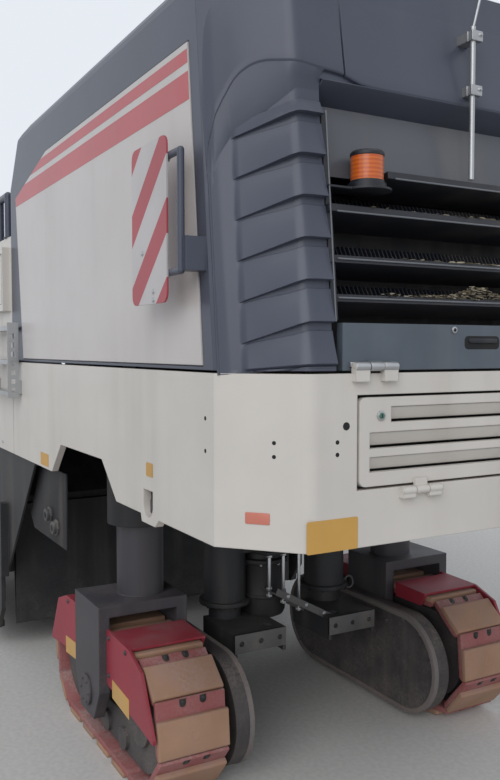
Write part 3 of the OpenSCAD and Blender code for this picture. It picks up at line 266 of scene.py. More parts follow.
finishes = {
    "hoodPaint": dict(
        colour=(0.064, 0.073, 0.104), rough=0.38, coat=0.12, gloss=0.4, dust=0.22, dustHigh=0.6,
        wear=0.15, dustColour=(0.3, 0.29, 0.27), streak=0.16, streakColour=(0.12, 0.12, 0.13),
        edge=0.004, bump=0.03,
    ),
    "grillePaint": dict(
        colour=(0.012, 0.0135, 0.020), rough=0.5, coat=0.03, dust=0.12, dustHigh=0.6, wear=0.15,
        dustColour=(0.33, 0.31, 0.27), streak=0.2, edge=0.003,
    ),
    "bodyCream": dict(
        colour=(0.655, 0.615, 0.565), rough=0.38, coat=0.15, dust=0.3, dustHigh=0.9, wear=0.1,
        wearColour=(0.3, 0.26, 0.22), streak=0.22, streakColour=(0.36, 0.31, 0.26), shade=0.07,
        bump=0.04,
    ),
    "panelWhite": dict(
        colour=(0.58, 0.54, 0.52), rough=0.36, coat=0.15, dust=0.2, dustHigh=0.9, wear=0.1,
        streak=0.18, streakColour=(0.38, 0.33, 0.29), shade=0.06, bump=0.03,
    ),
    "frameSteel": dict(
        colour=(0.017, 0.018, 0.021), rough=0.55, dust=0.3, dustHigh=1.0, wear=0.3,
        dustColour=(0.13, 0.12, 0.105), wearColour=(0.09, 0.08, 0.07), streak=0.35, edge=0.006,
        bump=0.25,
    ),
    "yokeGrey": dict(
        colour=(0.050, 0.046, 0.054), rough=0.5, dust=0.4, dustHigh=0.9, wear=0.4,
        dustColour=(0.17, 0.15, 0.15), wearColour=(0.15, 0.12, 0.12), streak=0.4, edge=0.008,
        bump=0.2,
    ),
    "trackRed": dict(
        colour=(0.33, 0.022, 0.042), rough=0.45, dust=0.4, dustHigh=0.8, wear=0.3,
        dustColour=(0.26, 0.15, 0.15), wearColour=(0.12, 0.05, 0.05), streak=0.4, edge=0.006,
        bump=0.15,
    ),
    "padTan": dict(
        colour=(0.44, 0.25, 0.15), rough=0.7, dust=0.65, dustHigh=0.9, wear=0.6, shade=0.3,
        dustColour=(0.36, 0.23, 0.19), wearColour=(0.60, 0.40, 0.15), streak=0.4,
        streakColour=(0.24, 0.12, 0.09), edge=0.008, bump=0.4,
    ),
    "drumSteel": dict(
        colour=(0.12, 0.095, 0.075), rough=0.62, metal=0.5, dust=0.6, dustHigh=0.8, wear=0.7,
        dustColour=(0.28, 0.24, 0.2), wearColour=(0.4, 0.36, 0.32), streak=0.4, edge=0.006,
        bump=0.4,
    ),
    "galvanised": dict(
        colour=(0.5, 0.51, 0.52), rough=0.35, metal=0.85, dust=0.3, wear=0.2, streak=0.25,
        edge=0.002, bump=0.08,
    ),
    "rodChrome": dict(
        colour=(0.75, 0.75, 0.76), rough=0.12, metal=1.0, dust=0.1, wear=0.0, streak=0.1,
        edge=0.002, bump=0.01,
    ),
    "beltRubber": dict(
        colour=(0.025, 0.024, 0.023), rough=0.8, dust=0.8, dustHigh=3.0, wear=0.2,
        dustColour=(0.17, 0.15, 0.13), streak=0.2, edge=0.004, bump=0.5,
    ),
    "seatVinyl": dict(
        colour=(0.03, 0.03, 0.033), rough=0.55, dust=0.3, dustHigh=1.0, wear=0.2, streak=0.1,
        edge=0.02, bump=0.3,
    ),
    "boardRed": dict(
        colour=(0.42, 0.06, 0.075), rough=0.4, dust=0.1, wear=0.1, streak=0.25,
        streakColour=(0.3, 0.2, 0.18), edge=0.002, bump=0.02,
    ),
    "boardWhite": dict(
        colour=(0.55, 0.52, 0.52), rough=0.4, dust=0.1, wear=0.1, streak=0.3,
        streakColour=(0.36, 0.3, 0.27), edge=0.002, bump=0.02,
    ),
    "labelYellow": dict(
        colour=(0.64, 0.36, 0.085), rough=0.5, dust=0.3, wear=0.0, streak=0.3, edge=0.001,
        bump=0.02,
    ),
    "stripeRed": dict(
        colour=(0.50, 0.075, 0.085), rough=0.36, coat=0.15, dust=0.1, wear=0.0, streak=0.2,
        streakColour=(0.36, 0.25, 0.22), shade=0.08, edge=0.001, bump=0.02,
    ),
    "plateRed": dict(
        colour=(0.31, 0.075, 0.075), rough=0.55, dust=0.65, dustHigh=0.9, wear=0.4,
        dustColour=(0.36, 0.23, 0.21), wearColour=(0.14, 0.07, 0.05), streak=0.4, edge=0.006,
        bump=0.2,
    ),
    # painted highlight: a lighter grey for the lit edges of the grille's blades and frame
    "grilleEdgeHighlight": dict(
        colour=(0.16, 0.17, 0.19), rough=0.35, dust=0.2, wear=0.4, wearColour=(0.4, 0.4, 0.4),
        streak=0.1, edge=0.001, bump=0.02,
    ),
    # painted reflection: a lighter, bluer grey than the hood paint for the core's upper panel, standing in
    # for the sky it reflects
    "sheetPaintWithReflection": dict(
        colour=(0.10, 0.105, 0.12), rough=0.4, coat=0.1, dust=0.4, dustHigh=0.6, wear=0.2,
        dustColour=(0.3, 0.28, 0.25), streak=0.3, streakColour=(0.2, 0.18, 0.15), edge=0.003,
        bump=0.03,
    ),
    # painted shade: a darker copy of the frame steel, its dust darker too, for the frame, engine, under-body
    # and hose plates
    "underSteelShaded": dict(
        colour=(0.010, 0.010, 0.012), rough=0.6, dust=0.16, dustHigh=1.0, wear=0.25,
        dustColour=(0.10, 0.092, 0.08), wearColour=(0.07, 0.062, 0.055), streak=0.3, edge=0.006,
        bump=0.25,
    ),
    "guardDust": dict(
        colour=(0.17, 0.15, 0.145), rough=0.7, dust=0.6, dustHigh=0.9, wear=0.3,
        dustColour=(0.24, 0.19, 0.165), streak=0.4, edge=0.004, bump=0.2,
    ),
    "pickCarbide": dict(
        colour=(0.42, 0.40, 0.38), rough=0.28, metal=0.9, dust=0.25, wear=0.2, streak=0.2,
        edge=0.002, bump=0.05,
    ),
    "couplingGrey": dict(
        colour=(0.075, 0.075, 0.08), rough=0.45, metal=0.3, dust=0.4, wear=0.3, streak=0.3,
        edge=0.003, bump=0.1,
    ),
    "trayGrey": dict(
        colour=(0.085, 0.083, 0.085), rough=0.5, dust=0.5, dustHigh=1.2, wear=0.4,
        wearColour=(0.3, 0.29, 0.27), dustColour=(0.2, 0.18, 0.16), streak=0.4, edge=0.004,
        bump=0.2,
    ),
    "guardSteel": dict(
        colour=(0.040, 0.037, 0.040), rough=0.6, dust=0.7, dustHigh=0.9, wear=0.3,
        dustColour=(0.16, 0.135, 0.125), wearColour=(0.1, 0.085, 0.08), streak=0.4, edge=0.006,
        bump=0.25,
    ),
    # painted light: a lighter, bluer copy of the hood paint for the rear flap, standing in for sunlight on it
    "flapPaintSunlit": dict(
        colour=(0.100, 0.122, 0.150), rough=0.38, coat=0.12, gloss=0.4, dust=0.2, dustHigh=0.6,
        wear=0.15, dustColour=(0.3, 0.29, 0.27), streak=0.25, streakColour=(0.2, 0.21, 0.22),
        edge=0.004, bump=0.03, shade=0.25,
    ),
    # black of the knobs, screen and lid joints, and also the painted shade inside holes, key slots, notches,
    # pockets and behind the hoisting slots
    "blackAndHoleShade": dict(
        colour=(0.008, 0.008, 0.009), rough=0.8, dust=0.15, wear=0.0, streak=0.1, edge=0.001,
        bump=0.02,
    ),
    "dryLeaf": dict(
        colour=(0.42, 0.36, 0.26), rough=0.8, dust=0.3, wear=0.0, streak=0.1, shade=0.4,
        edge=0.001, bump=0.1,
    ),
    "lockGreen": dict(
        colour=(0.05, 0.16, 0.11), rough=0.35, dust=0.2, wear=0.2, streak=0.2, edge=0.001,
        bump=0.02,
    ),
    "reflectorRed": dict(
        colour=(0.66, 0.22, 0.16), rough=0.3, dust=0.1, wear=0.0, streak=0.2, edge=0.001,
        bump=0.02,
    ),
}
materials = {name: wornFinish(name, **values) for name, values in finishes.items()}


def amberLens():
    material, tree, shader = blankMaterial("amberLens")
    ribs = tree.nodes.new("ShaderNodeTexWave")
    ribs.bands_direction = "Z"
    ribs.inputs["Scale"].default_value = 26.0
    coords = tree.nodes.new("ShaderNodeTexCoord")
    tree.links.new(coords.outputs["Object"], ribs.inputs["Vector"])
    base = mixNode(tree, "RGBA", ribs.outputs["Fac"], (0.52, 0.085, 0.012), (0.66, 0.15, 0.020))
    tree.links.new(base, shader.inputs["Base Color"])
    shader.inputs["Roughness"].default_value = 0.3
    shader.inputs["Coat Weight"].default_value = 0.2
    return material


materials["amberLens"] = amberLens()
print("finishes made,", len(materials))

# the finish that each of the frame's own nodes wears
nodeFinish = {
    "hoodPaint": ("hood", "water_tank", "consoles", "rails", "conveyor_turret", "lift_barrels"),
    # the rear flap takes the copy of the hood paint with painted sunlight
    "flapPaintSunlit": ("rear_flap",),
    "grillePaint": ("grille",),
    "bodyCream": ("rear_body", "front_body", "louvre_flap", "platform_walls", "loading_conveyor"),
    "panelWhite": ("side_panels",),
    # frame and engine take the darker steel with painted shade
    "underSteelShaded": ("main_frame", "engine_block"),
    "frameSteel": (
        "rear_brackets", "platform_deck", "drum_housing", "primary_conveyor",
        "side_plate_left", "side_plate_right",
    ),
    "drumSteel": ("milling_drum",),
    "galvanised": ("ladders", "beacon_pole"),
    "rodChrome": ("lift_rods",),
    "beltRubber": ("conveyor_belt",),
    "seatVinyl": ("seats",),
    "amberLens": ("beacon",),
    "boardRed": ("warning_boards",),
}
trackFinish = {
    "yoke_": "yokeGrey", "track_frame_": "guardSteel", "track_cover_": "trackRed", "track_shoes_": "padTan",
}


def dressNode(name, finish):
    mesh = nodes[name].data
    mesh.materials.clear()
    mesh.materials.append(materials[finish])


for finish, names in nodeFinish.items():
    for name in names:
        dressNode(name, finish)
for part, finish in trackFinish.items():
    for corner in ("rear_left", "rear_right", "front_left", "front_right"):
        dressNode(part + corner, finish)
print("frame dressed")


bothSides = (("left", 1), ("right", -1))


def finishPiece(name, mesh, finishNames, body, slot, bevel=0.0, segments=2, smooth=40):
    piece = bpy.data.objects.new(name, mesh)
    bpy.context.scene.collection.objects.link(piece)
    for finish in finishNames:
        mesh.materials.append(materials[finish])
    if bevel:
        modifier = piece.modifiers.new("edges", "BEVEL")
        modifier.width = bevel
        modifier.segments = segments
        modifier.limit_method = "ANGLE"
        modifier.angle_limit = math.radians(35)
        bpy.context.view_layer.update()
        graph = bpy.context.evaluated_depsgraph_get()
        rounded = bpy.data.meshes.new_from_object(piece.evaluated_get(graph))
        piece.modifiers.clear()
        piece.data = rounded
    piece.data.shade_smooth()
    piece.data.set_sharp_from_angle(angle=math.radians(smooth))
    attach(piece, body)
    return piece


def fromBmesh(name, bm, finishNames, body, slot, **options):
    bmesh.ops.recalc_face_normals(bm, faces=bm.faces)
    mesh = bpy.data.meshes.new(name)
    bm.to_mesh(mesh)
    bm.free()
    return finishPiece(name, mesh, finishNames, body, slot, **options)


def addPrism(bm, outline, place, low, high, finish=0):
    # outline is a list of flat points, and place turns (point, depth) into a place in the frame
    loops = [[bm.verts.new(place(p, depth)) for p in outline] for depth in (low, high)]
    for loop in loops:
        bm.faces.new(loop).material_index = finish
    addSheet(bm, loops, True, finish)


def sidePlace(p, depth):
    return at(p[0], depth, p[1])


def rearPlace(p, depth):
    return at(depth, p[0], p[1])


def topPlace(p, depth):
    return at(p[0], p[1], depth)


def paintFaces(made, finish):
    for face in {f for v in made["verts"] for f in v.link_faces}:
        face.material_index = finish


def addCone(bm, start, end, low, high, sides, finish=0, aim=None):
    start, end = Vector(start), Vector(end)
    if aim is None:
        aim = end - start
    turn = aim.to_track_quat("Z", "Y").to_matrix().to_4x4()
    paintFaces(bmesh.ops.create_cone(
        bm, cap_ends=True, segments=sides, radius1=low, radius2=high, depth=(end - start).length,
        matrix=Matrix.Translation((start + end) / 2) @ turn,
    ), finish)


def addRod(bm, start, end, radius, sides=12, finish=0):
    addCone(bm, start, end, radius, radius, sides, finish)


def addBall(bm, centre, radius, finish=0):
    paintFaces(bmesh.ops.create_uvsphere(
        bm, u_segments=12, v_segments=8, radius=radius, matrix=Matrix.Translation(Vector(centre))
    ), finish)


def addBolt(bm, centre, direction, radius=0.009, height=0.007, finish=0):
    centre, direction = Vector(centre), Vector(direction).normalized()
    addRod(bm, centre - direction * 0.002, centre + direction * height * 0.3, radius * 1.5, 16, finish)
    addRod(bm, centre, centre + direction * height, radius, 6, finish)


def circle(count, phase=0.0):
    return [2 * math.pi * k / count + phase for k in range(count)]


def addBoltRing(bm, count, radius, place, direction, size, phase=0.0, finish=0):
    # place turns two offsets from the ring's middle into a place in the frame
    for a in circle(count, phase):
        addBolt(bm, place(radius * math.cos(a), radius * math.sin(a)), direction, *size, finish)


def addSheet(bm, rows, closed=False, finish=0):
    # faces between rows of vertices; closed joins the two ends of each row
    for one, two in zip(rows, rows[1:]):
        count = min(len(one), len(two))
        for k in range(count if closed else count - 1):
            n = (k + 1) % count
            bm.faces.new((one[k], one[n], two[n], two[k])).material_index = finish


def addCap(bm, under, over, finish=0):
    # top and sides of a low piece that is open below
    low, high = [bm.verts.new(p) for p in under], [bm.verts.new(p) for p in over]
    bm.faces.new(high).material_index = finish
    addSheet(bm, (low, high), True, finish)


def addLathe(bm, centre, profile, sides=36, finish=0, least=0.0005):
    # a turned piece, from radii and heights
    loops = []
    for r, z in profile:
        r = max(r, least)
        loops.append([
            bm.verts.new(centre + Vector((r * math.cos(a), r * math.sin(a), z))) for a in circle(sides)
        ])
    addSheet(bm, loops, True, finish)


def splinePoint(before, start, end, after, t):
    # Catmull-Rom curve on its way from start to end
    return 0.5 * (
        2 * start + (end - before) * t + (2 * before - 5 * start + 4 * end - after) * t ** 2
        + (3 * start - before - 3 * end + after) * t ** 3
    )


def addTube(bm, points, radius, sides=10, finish=0):
    # a bent tube, with its bends rounded by a spline
    points = [Vector(p) for p in points]
    path = []
    for i in range(len(points) - 1):
        before, after = points[max(i - 1, 0)], points[min(i + 2, len(points) - 1)]
        path += [splinePoint(before, points[i], points[i + 1], after, k / 8) for k in range(8)]
    path.append(points[-1])
    rings = []
    for i, p in enumerate(path):
        turn = (path[min(i + 1, len(path) - 1)] - path[max(i - 1, 0)]).to_track_quat("Z", "Y")
        rings.append([
            bm.verts.new(p + turn @ Vector((radius * math.cos(a), radius * math.sin(a), 0)))
            for a in circle(sides)
        ])
    addSheet(bm, rings, True, finish)
    bm.faces.new(rings[0])
    bm.faces.new(rings[-1])


def clipBand(outline, low, high):
    # the part of a flat outline between two heights
    def cut(points, keep, level):
        out = []
        for i, p in enumerate(points):
            q = points[(i + 1) % len(points)]
            if keep(p[1]):
                out.append(p)
            if keep(p[1]) != keep(q[1]):
                f = (level - p[1]) / (q[1] - p[1])
                out.append((p[0] + f * (q[0] - p[0]), level))
        return out

    return cut(cut(outline, lambda z: z >= low, low), lambda z: z <= high, high)


def flatBox(left, right, low, high):
    return [(left, low), (right, low), (right, high), (left, high)]


def roundedBox(width, height, radius, centre=(0, 0), steps=4):
    points = []
    for wide, high, start in ((1, 1, 0), (-1, 1, 90), (-1, -1, 180), (1, -1, 270)):
        for k in range(steps + 1):
            a = math.radians(start + 90 * k / steps)
            points.append((
                centre[0] + wide * (width / 2 - radius) + radius * math.cos(a),
                centre[1] + high * (height / 2 - radius) + radius * math.sin(a),
            ))
    return points


louvre = {
    "rows": 6, "base": 0.028, "pitch": 0.1205, "gap": 0.024, "fall": 0.225, "reach": 0.193, "bands": 7,
    "flare": 0.013, "top": -0.006, "sink": -0.0105, "rim": 0.0045, "runOut": (0.200, 0.250),
    "lean": 6.0, "bendR": 0.060, "bendY": 0.870, "corner": (0.220, 0.198), "seamY": 0.787, "edge": 0.276,
    "cap": ((0.276, 0.60), (0.262, 0.612), (0.206, 0.738), (0.12, 0.778), (0.0, 0.832), (-0.2, 0.838)),
}


def cornerRun():
    # the cut corner in plan: along it, out of it, its turn, and the tangent of its bend
    along = Vector(louvre["corner"]).normalized()
    turn = math.atan2(louvre["corner"][0], louvre["corner"][1])
    return along, Vector((-along.y, along.x)), turn, louvre["bendR"] * math.tan(turn / 2)


def cornerPlace(sign):
    # p is the distance along the cut corner and the height
    along, out = cornerRun()[:2]

    def place(p, depth):
        q = Vector((0, louvre["bendY"])) + along * p[0] + out * depth
        return at(q.x, sign * q.y, p[1])

    return place


def louvrePath(v):
    # plan points with their outward direction, from the side towards the grille
    along, out, turn, tangent = cornerRun()
    start = Vector((0, v["bendY"]))
    edge = v["edge"]
    columns = [edge + 0.008, edge + 0.005, edge + 0.002, edge - 0.002, edge - 0.014, edge - 0.019]
    columns += [edge - 0.019 - (edge - 0.019 - tangent) * k / 32 for k in range(1, 33)]
    path = [(start + along * u, out, u) for u in columns]
    centre = Vector((v["bendR"], v["bendY"] - tangent))
    for k in range(1, 11):
        a = math.pi - turn + turn * k / 10
        direction = Vector((math.cos(a), math.sin(a)))
        path.append((centre + direction * v["bendR"], direction, tangent - 2 * tangent * k / 10))
    for k in range(1, 7):
        y = centre.y + (v["seamY"] - centre.y) * k / 6
        path.append((Vector((0, y)), Vector((-1, 0)), -tangent - (centre.y - y)))
    return path


def louvreRows(v, u):
    # heights and outward offsets up one column of the insert
    def fade(low, high):
        t = min(1.0, max(0.0, (u - low) / (high - low)))
        return t * t * (3 - 2 * t)

    strength = (1 - 0.55 * fade(0.0, 0.19)) * (1 - fade(v["reach"], v["reach"] + 0.012))
    drop = v["fall"] * min(max(u, 0.0), v["reach"] + 0.01)
    gap = v["gap"] * (1 - 0.72 * fade(0.0, 0.2))
    flat = -0.008 + 0.0086 * fade(*v["runOut"])
    cap = v["cap"]
    top = cap[-1][1]
    for (u1, h1), (u0, h0) in zip(cap, cap[1:]):
        if u0 <= u <= u1:
            top = h0 + (h1 - h0) * (u - u0) / (u1 - u0)
    if u > cap[0][0]:
        top = cap[0][1]
    rows = [(v["base"] - 0.012, 0.0006), (v["base"] - 0.007, flat)]
    for k in range(v["rows"] + 1):
        lip = v["base"] + k * v["pitch"] - drop
        if k == 0:
            lip = v["base"]
        upper = v["base"] + (k + 1) * v["pitch"] - drop - gap
        if k == v["rows"]:
            upper = lip + 0.040
        if k:
            rows.append((lip - 0.0015, flat + strength * (v["sink"] - flat)))
        rows.append((lip, flat + strength * (v["flare"] - flat)))
        for m in range(1, v["bands"] + 1):
            f = m / v["bands"]
            offset = v["flare"] + (v["top"] - v["flare"]) * (1 - (1 - f) ** 1.35)
            rows.append((lip + (upper - lip) * f, flat + strength * (offset - flat)))
        rows.append((upper + 0.001, flat + strength * (v["sink"] - flat)))
    limit = top - 0.004
    rows = [(min(h, limit), d if h < limit else flat) for h, d in rows]
    rows += [(top, flat), (top + 0.010, flat + 0.001)]
    if u > v["edge"] - 0.001:
        lift = {0.008: 0.0006, 0.005: v["rim"], 0.002: v["rim"]}[round(u - v["edge"], 3)]
        rows = [(h, lift) for h, d in rows]
    return rows


def buildLouvres(v):
    lean = Matrix.Rotation(math.radians(v["lean"]), 3, "Y")
    for side, sign in bothSides:
        bm = bmesh.new()
        grid = []
        for plan, out, u in louvrePath(v):
            column = []
            for height, offset in louvreRows(v, u):
                p = plan + out * offset
                turned = lean @ Vector((p.x, p.y, height))
                column.append(bm.verts.new(at(turned.x, sign * turned.y, splitZ + turned.z)))
            grid.append(column)
        # return along the seam beside the grille
        last = [vert.co.copy() for vert in grid[-1]]
        for depth in (0.012, 0.035):
            grid.append([bm.verts.new(co + Vector((depth, sign * -0.0015, 0))) for co in last])
        addSheet(bm, grid)
        bmesh.ops.remove_doubles(bm, verts=bm.verts, dist=0.00005)
        bmesh.ops.dissolve_degenerate(bm, edges=bm.edges, dist=0.00005)
        fromBmesh("cornerLouvres_" + side, bm, ["hoodPaint"], "hood", "dark_paint", smooth=38)


skin = {
    "arch": (
        (0.290, 0.600), (0.284, 0.658), (0.276, 0.703), (0.264, 0.733), (0.245, 0.782), (0.223, 0.820),
        (0.184, 0.874), (0.139, 0.903), (0.090, 0.911), (0.020, 0.900), (-0.059, 0.890),
        (-0.135, 0.885), (-0.172, 0.878), (-0.215, 0.863), (-0.270, 0.8575), (-0.45, 0.8575),
        (-0.880, 0.8575),
    ),
    "recess": ((0.300, 0.530), (0.262, 0.618), (0.206, 0.748), (0.0, 0.858), (-0.083, 0.858)),
    "proud": 0.013, "top": 1.205, "side": 0.2915, "seam": -0.164, "gap": 0.0035,
    "turnIn": (0.014, 0.0015),
    "lipTop": ((0.078, 2.6185), (0.0805, 2.6215)), "lip": (0.148, 2.563), "lipHalf": 0.785,
    "sheet": (0.116, 2.352), "sheetHalf": 0.764,
}


def recessTop(points, u):
    for (u1, h1), (u0, h0) in zip(points, points[1:]):
        if u0 <= u <= u1:
            return h0 + (h1 - h0) * (u - u0) / (u1 - u0)
    return points[-1][1]


def smoothCurve(points, x):
    # height of a smooth curve through points whose first numbers fall
    for i in range(len(points) - 1):
        (x1, y1), (x0, y0) = points[i], points[i + 1]
        if x0 <= x <= x1:
            before, after = points[max(i - 1, 0)][1], points[min(i + 2, len(points) - 1)][1]
            return splinePoint(before, y1, y0, after, (x1 - x) / (x1 - x0))
    return points[-1][1]


def skinPlan(u):
    # plan point and outward direction at a distance along the skin
    along, out, turn, tangent = cornerRun()
    if u >= tangent:
        return Vector((0, louvre["bendY"])) + along * u, out
    if u > -tangent:
        a = math.pi - turn + turn * (tangent - u) / (2 * tangent)
        direction = Vector((math.cos(a), math.sin(a)))
        centre = Vector((louvre["bendR"], louvre["bendY"] - tangent))
        return centre + direction * louvre["bendR"], direction
    return Vector((0, louvre["bendY"] + u)), Vector((-1, 0))


def buildSkin(v):
    # upper rear of the hood: it bulges out to a rolled lip over the louvres and the grille
    tangent = cornerRun()[3]
    lean = Matrix.Rotation(math.radians(louvre["lean"]), 3, "Y")
    outer = [v["side"] - 0.005 * k for k in range(20)]
    outer += [outer[-1] - (outer[-1] - tangent) * k / 12 for k in range(1, 13)]
    outer += [tangent - 2 * tangent * k / 12 for k in range(1, 13)]
    outer += [-tangent + (v["seam"] + v["gap"] + tangent) * k / 8 for k in range(1, 9)]
    first = v["seam"] - v["gap"]
    middle = [first - (louvre["bendY"] + first) * k / 26 for k in range(27)]

    def column(u):
        plan, normal = skinPlan(u)
        line = smoothCurve(v["arch"], max(u, -0.8799))
        edge = min(1.0, max(0.0, (v["side"] - u) / 0.045))
        proud = v["proud"] * edge * edge * (3 - 2 * edge)
        if u > v["recess"][-1][0]:
            rim = recessTop(v["recess"], u)
            sunk = min(1.0, max(0.0, (0.266 - u) / 0.008))
            rows = [(rim - 0.034, 0.0003 - 0.0088 * sunk), (rim + 0.002, 0.0014)]
            rows.append((max(line - 0.014, rim + 0.004), 0.0014 + (proud - 0.0014) * 0.62))
        else:
            rows = [(line - 0.010, -0.004), (line - 0.007, 0.000), (line - 0.004, proud - 0.006)]
        rows += [(line - 0.004, proud - 0.0035), (line - 0.001, proud - 0.0008), (line + 0.003, proud)]
        for k in range(1, 13):
            f = k / 12
            height = line + 0.003 + (v["top"] - line - 0.003) * f
            rows.append((height, proud * (1 - min(1.0, f * 1.02)) ** 1.6 - 0.0025 * f ** 3))
        points = []
        for height, offset in rows:
            p = plan + normal * offset
            points.append(lean @ Vector((p.x, p.y, height)))
        return points

    bm = bmesh.new()
    deep, aside = v["turnIn"]
    for sign in (1, -1):
        for stretch, seamEnd, way in ((outer, -1, -1), (middle, 0, 1)):
            grid = []
            for u in stretch:
                grid.append([bm.verts.new(at(q.x, sign * q.y, splitZ + q.z)) for q in column(u)])
            # the panel's edge turns in at the seam
            turnIn = Vector((deep, sign * way * aside, 0))
            edge = [bm.verts.new(vert.co + turnIn) for vert in grid[seamEnd]]
            addSheet(bm, [edge] + grid if seamEnd == 0 else grid + [edge])
    bmesh.ops.remove_doubles(bm, verts=bm.verts, dist=0.00004)
    bmesh.ops.dissolve_degenerate(bm, edges=bm.edges, dist=0.00004)
    fromBmesh("hoodRearSkin", bm, ["hoodPaint"], "hood", "dark_paint", smooth=34)

    # under the lip: the sloping sheet and the core's upper panel, whose lighter grey holds a painted sky
    # reflection
    (lipS, lipZ), (footS, footZ) = v["lip"], v["sheet"]
    sloping = [*v["lipTop"], (lipS + 0.004, lipZ + 0.003), (lipS, lipZ)]
    core = [
        (footS, footZ), (footS + 0.003, footZ - 0.001), (lipS + 0.003, lipZ + 0.001), (lipS, lipZ + 0.003),
    ]
    for name, outline, half, finish in (
        ("lipSheet", sloping, v["lipHalf"], "hoodPaint"),
        ("coreSheet", core, v["sheetHalf"], "sheetPaintWithReflection"),
    ):
        bm = bmesh.new()
        addPrism(bm, outline, sidePlace, -half, half)
        fromBmesh(name, bm, [finish], "hood", "dark_paint", bevel=0.001, segments=1)


buildLouvres(louvre)
buildSkin(skin)
print("corner louvres and rear skin made")


panelOutline = [(0.291, 1.791), (0.388, 2.772), (1.970, 2.772), (2.569, 2.643), (2.444, 1.791)]
stripes = {"bands": ((2.710, 2.752), (2.597, 2.684)), "inset": 0.004, "y": 1.0708, "thick": 0.0008}


def buildStripes(v):
    # painted stripes that follow the panel's upper edge
    for side, sign in bothSides:
        bm = bmesh.new()
        for low, high in v["bands"]:
            band = clipBand(panelOutline, low, high)
            rear = min(p[0] for p in band)
            band = [(p[0] + (v["inset"] if p[0] < rear + 0.02 else -v["inset"]), p[1]) for p in band]
            addPrism(bm, band, sidePlace, sign * v["y"], sign * (v["y"] + v["thick"]))
        fromBmesh("sideStripes_" + side, bm, ["stripeRed"], "hood", "cream_paint")


board = {
    "s": 0.356, "z": 1.980, "width": 0.282, "height": 0.500, "y": 1.150, "thick": 0.006,
    "period": 0.235, "red": 0.105, "shift": 0.064, "angle": 42,
    "pins": ((0.398, 2.07), (0.398, 2.42)), "bolts": ((0.549, 2.144), (0.460, 2.018), (0.460, 1.992)),
}


def buildBoards(v):
    midS, midZ = v["s"] + v["width"] / 2, v["z"] + v["height"] / 2
    outline = roundedBox(v["width"], v["height"], 0.030, (midS, midZ))
    slant = math.radians(v["angle"])
    across = Vector((math.sin(slant), 0, math.cos(slant)))
    bm = bmesh.new()
    for sign in (1, -1):
        addPrism(bm, outline, sidePlace, sign * v["y"], sign * (v["y"] + v["thick"]))
    middle = at(midS, 0, midZ)
    for k in range(-3, 3):
        for edge in (v["shift"] + k * v["period"], v["shift"] + v["red"] + k * v["period"]):
            geometry = bm.verts[:] + bm.edges[:] + bm.faces[:]
            cut = middle + across * edge * math.cos(slant)
            bmesh.ops.bisect_plane(bm, geom=geometry, plane_co=cut, plane_no=across)
    for face in bm.faces:
        height = (face.calc_center_median() - middle).dot(across) / math.cos(slant)
        face.material_index = 0 if (height - v["shift"]) % v["period"] < v["red"] else 1
    piece = fromBmesh("warningBoards", bm, ["boardRed", "boardWhite"], "hood", "striped_board")
    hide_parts("warning_boards")
    bm = bmesh.new()
    for sign in (1, -1):
        for s, z in v["pins"]:
            addRod(bm, at(s, sign * (v["y"] - 0.022), z), at(s, sign * (v["y"] + 0.002), z), 0.013)
        for s, z in v["bolts"]:
            addBolt(bm, at(s, sign * (v["y"] + v["thick"]), z), (0, sign, 0), 0.006, 0.004)
    fromBmesh("boardBolts", bm, ["galvanised"], "hood", "galvanised")


lamp = {
    "s": 0.062, "y": 0.636, "low": 2.328, "ribs": 9, "ribStep": 0.0075,
    "base": ((0.056, -0.016), (0.058, -0.004), (0.052, 0.0), (0.052, 0.008), (0.0495, 0.010)),
    "cap": (
        (0.0495, 0.080), (0.0515, 0.082), (0.0515, 0.090), (0.046, 0.096), (0.020, 0.098), (0.0, 0.098),
    ),
}


def buildBeacon(v):
    lens = [(0.0495, 0.010)]
    for k in range(v["ribs"]):
        z = 0.012 + k * v["ribStep"]
        lens += [(0.0498, z), (0.0493, z + 0.0037)]
    lens.append((0.0495, 0.080))
    bm = bmesh.new()
    for profile, finish in ((v["base"], 1), (lens, 0), (v["cap"], 1)):
        addLathe(bm, at(v["s"], v["y"], v["low"]), profile, 36, finish, least=0.0)
    bmesh.ops.remove_doubles(bm, verts=bm.verts, dist=0.00002)
    piece = fromBmesh("beaconLamp", bm, ["amberLens", "grillePaint"], "hood", "amber_lens", smooth=30)
    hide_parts("beacon")


def leanStation(z):
    return (z - splitZ) * math.tan(math.radians(louvre["lean"]))


pole = {"s": 0.050, "y": 0.231, "clamps": (2.660, 2.830)}


def buildPoleClamps(v):
    bm = bmesh.new()
    s, y = v["s"], v["y"]
    for z in v["clamps"]:
        for step in (-0.0105, 0.0105):
            outline = flatBox(y - 0.030, y + 0.016, z - 0.016, z + 0.016)
            addPrism(bm, outline, rearPlace, s + step - 0.003, s + step + 0.003)
        addRod(bm, at(s, y, z - 0.014), at(s, y, z + 0.014), 0.0135, 16)
        addBolt(bm, at(s - 0.0135, y - 0.021, z + 0.004), (-1, 0, 0), 0.005, 0.006)
    fromBmesh("poleClamps", bm, ["galvanised"], "hood", "galvanised", bevel=0.0012)


buildStripes(stripes)
buildBoards(board)
buildBeacon(lamp)
buildPoleClamps(pole)
print("hood details made")


grille = {
    "half": 0.760, "edges": (2.350, 2.237, 2.090, 1.977), "line": (0.001, 0.001, 0.011, 0.011),
    "front": 0.024, "lean": 0.3, "slope": 12.0, "shortTop": 0.215,
    "upright": (0.7835, (0.0077, 1.918), (0.0640, 2.526)),
    "fins": 0.016, "finRows": ((2.237, 0.045), (2.090, 0.050), (1.977, 0.045)),
    "leaves": 2600, "seed": 7,
}


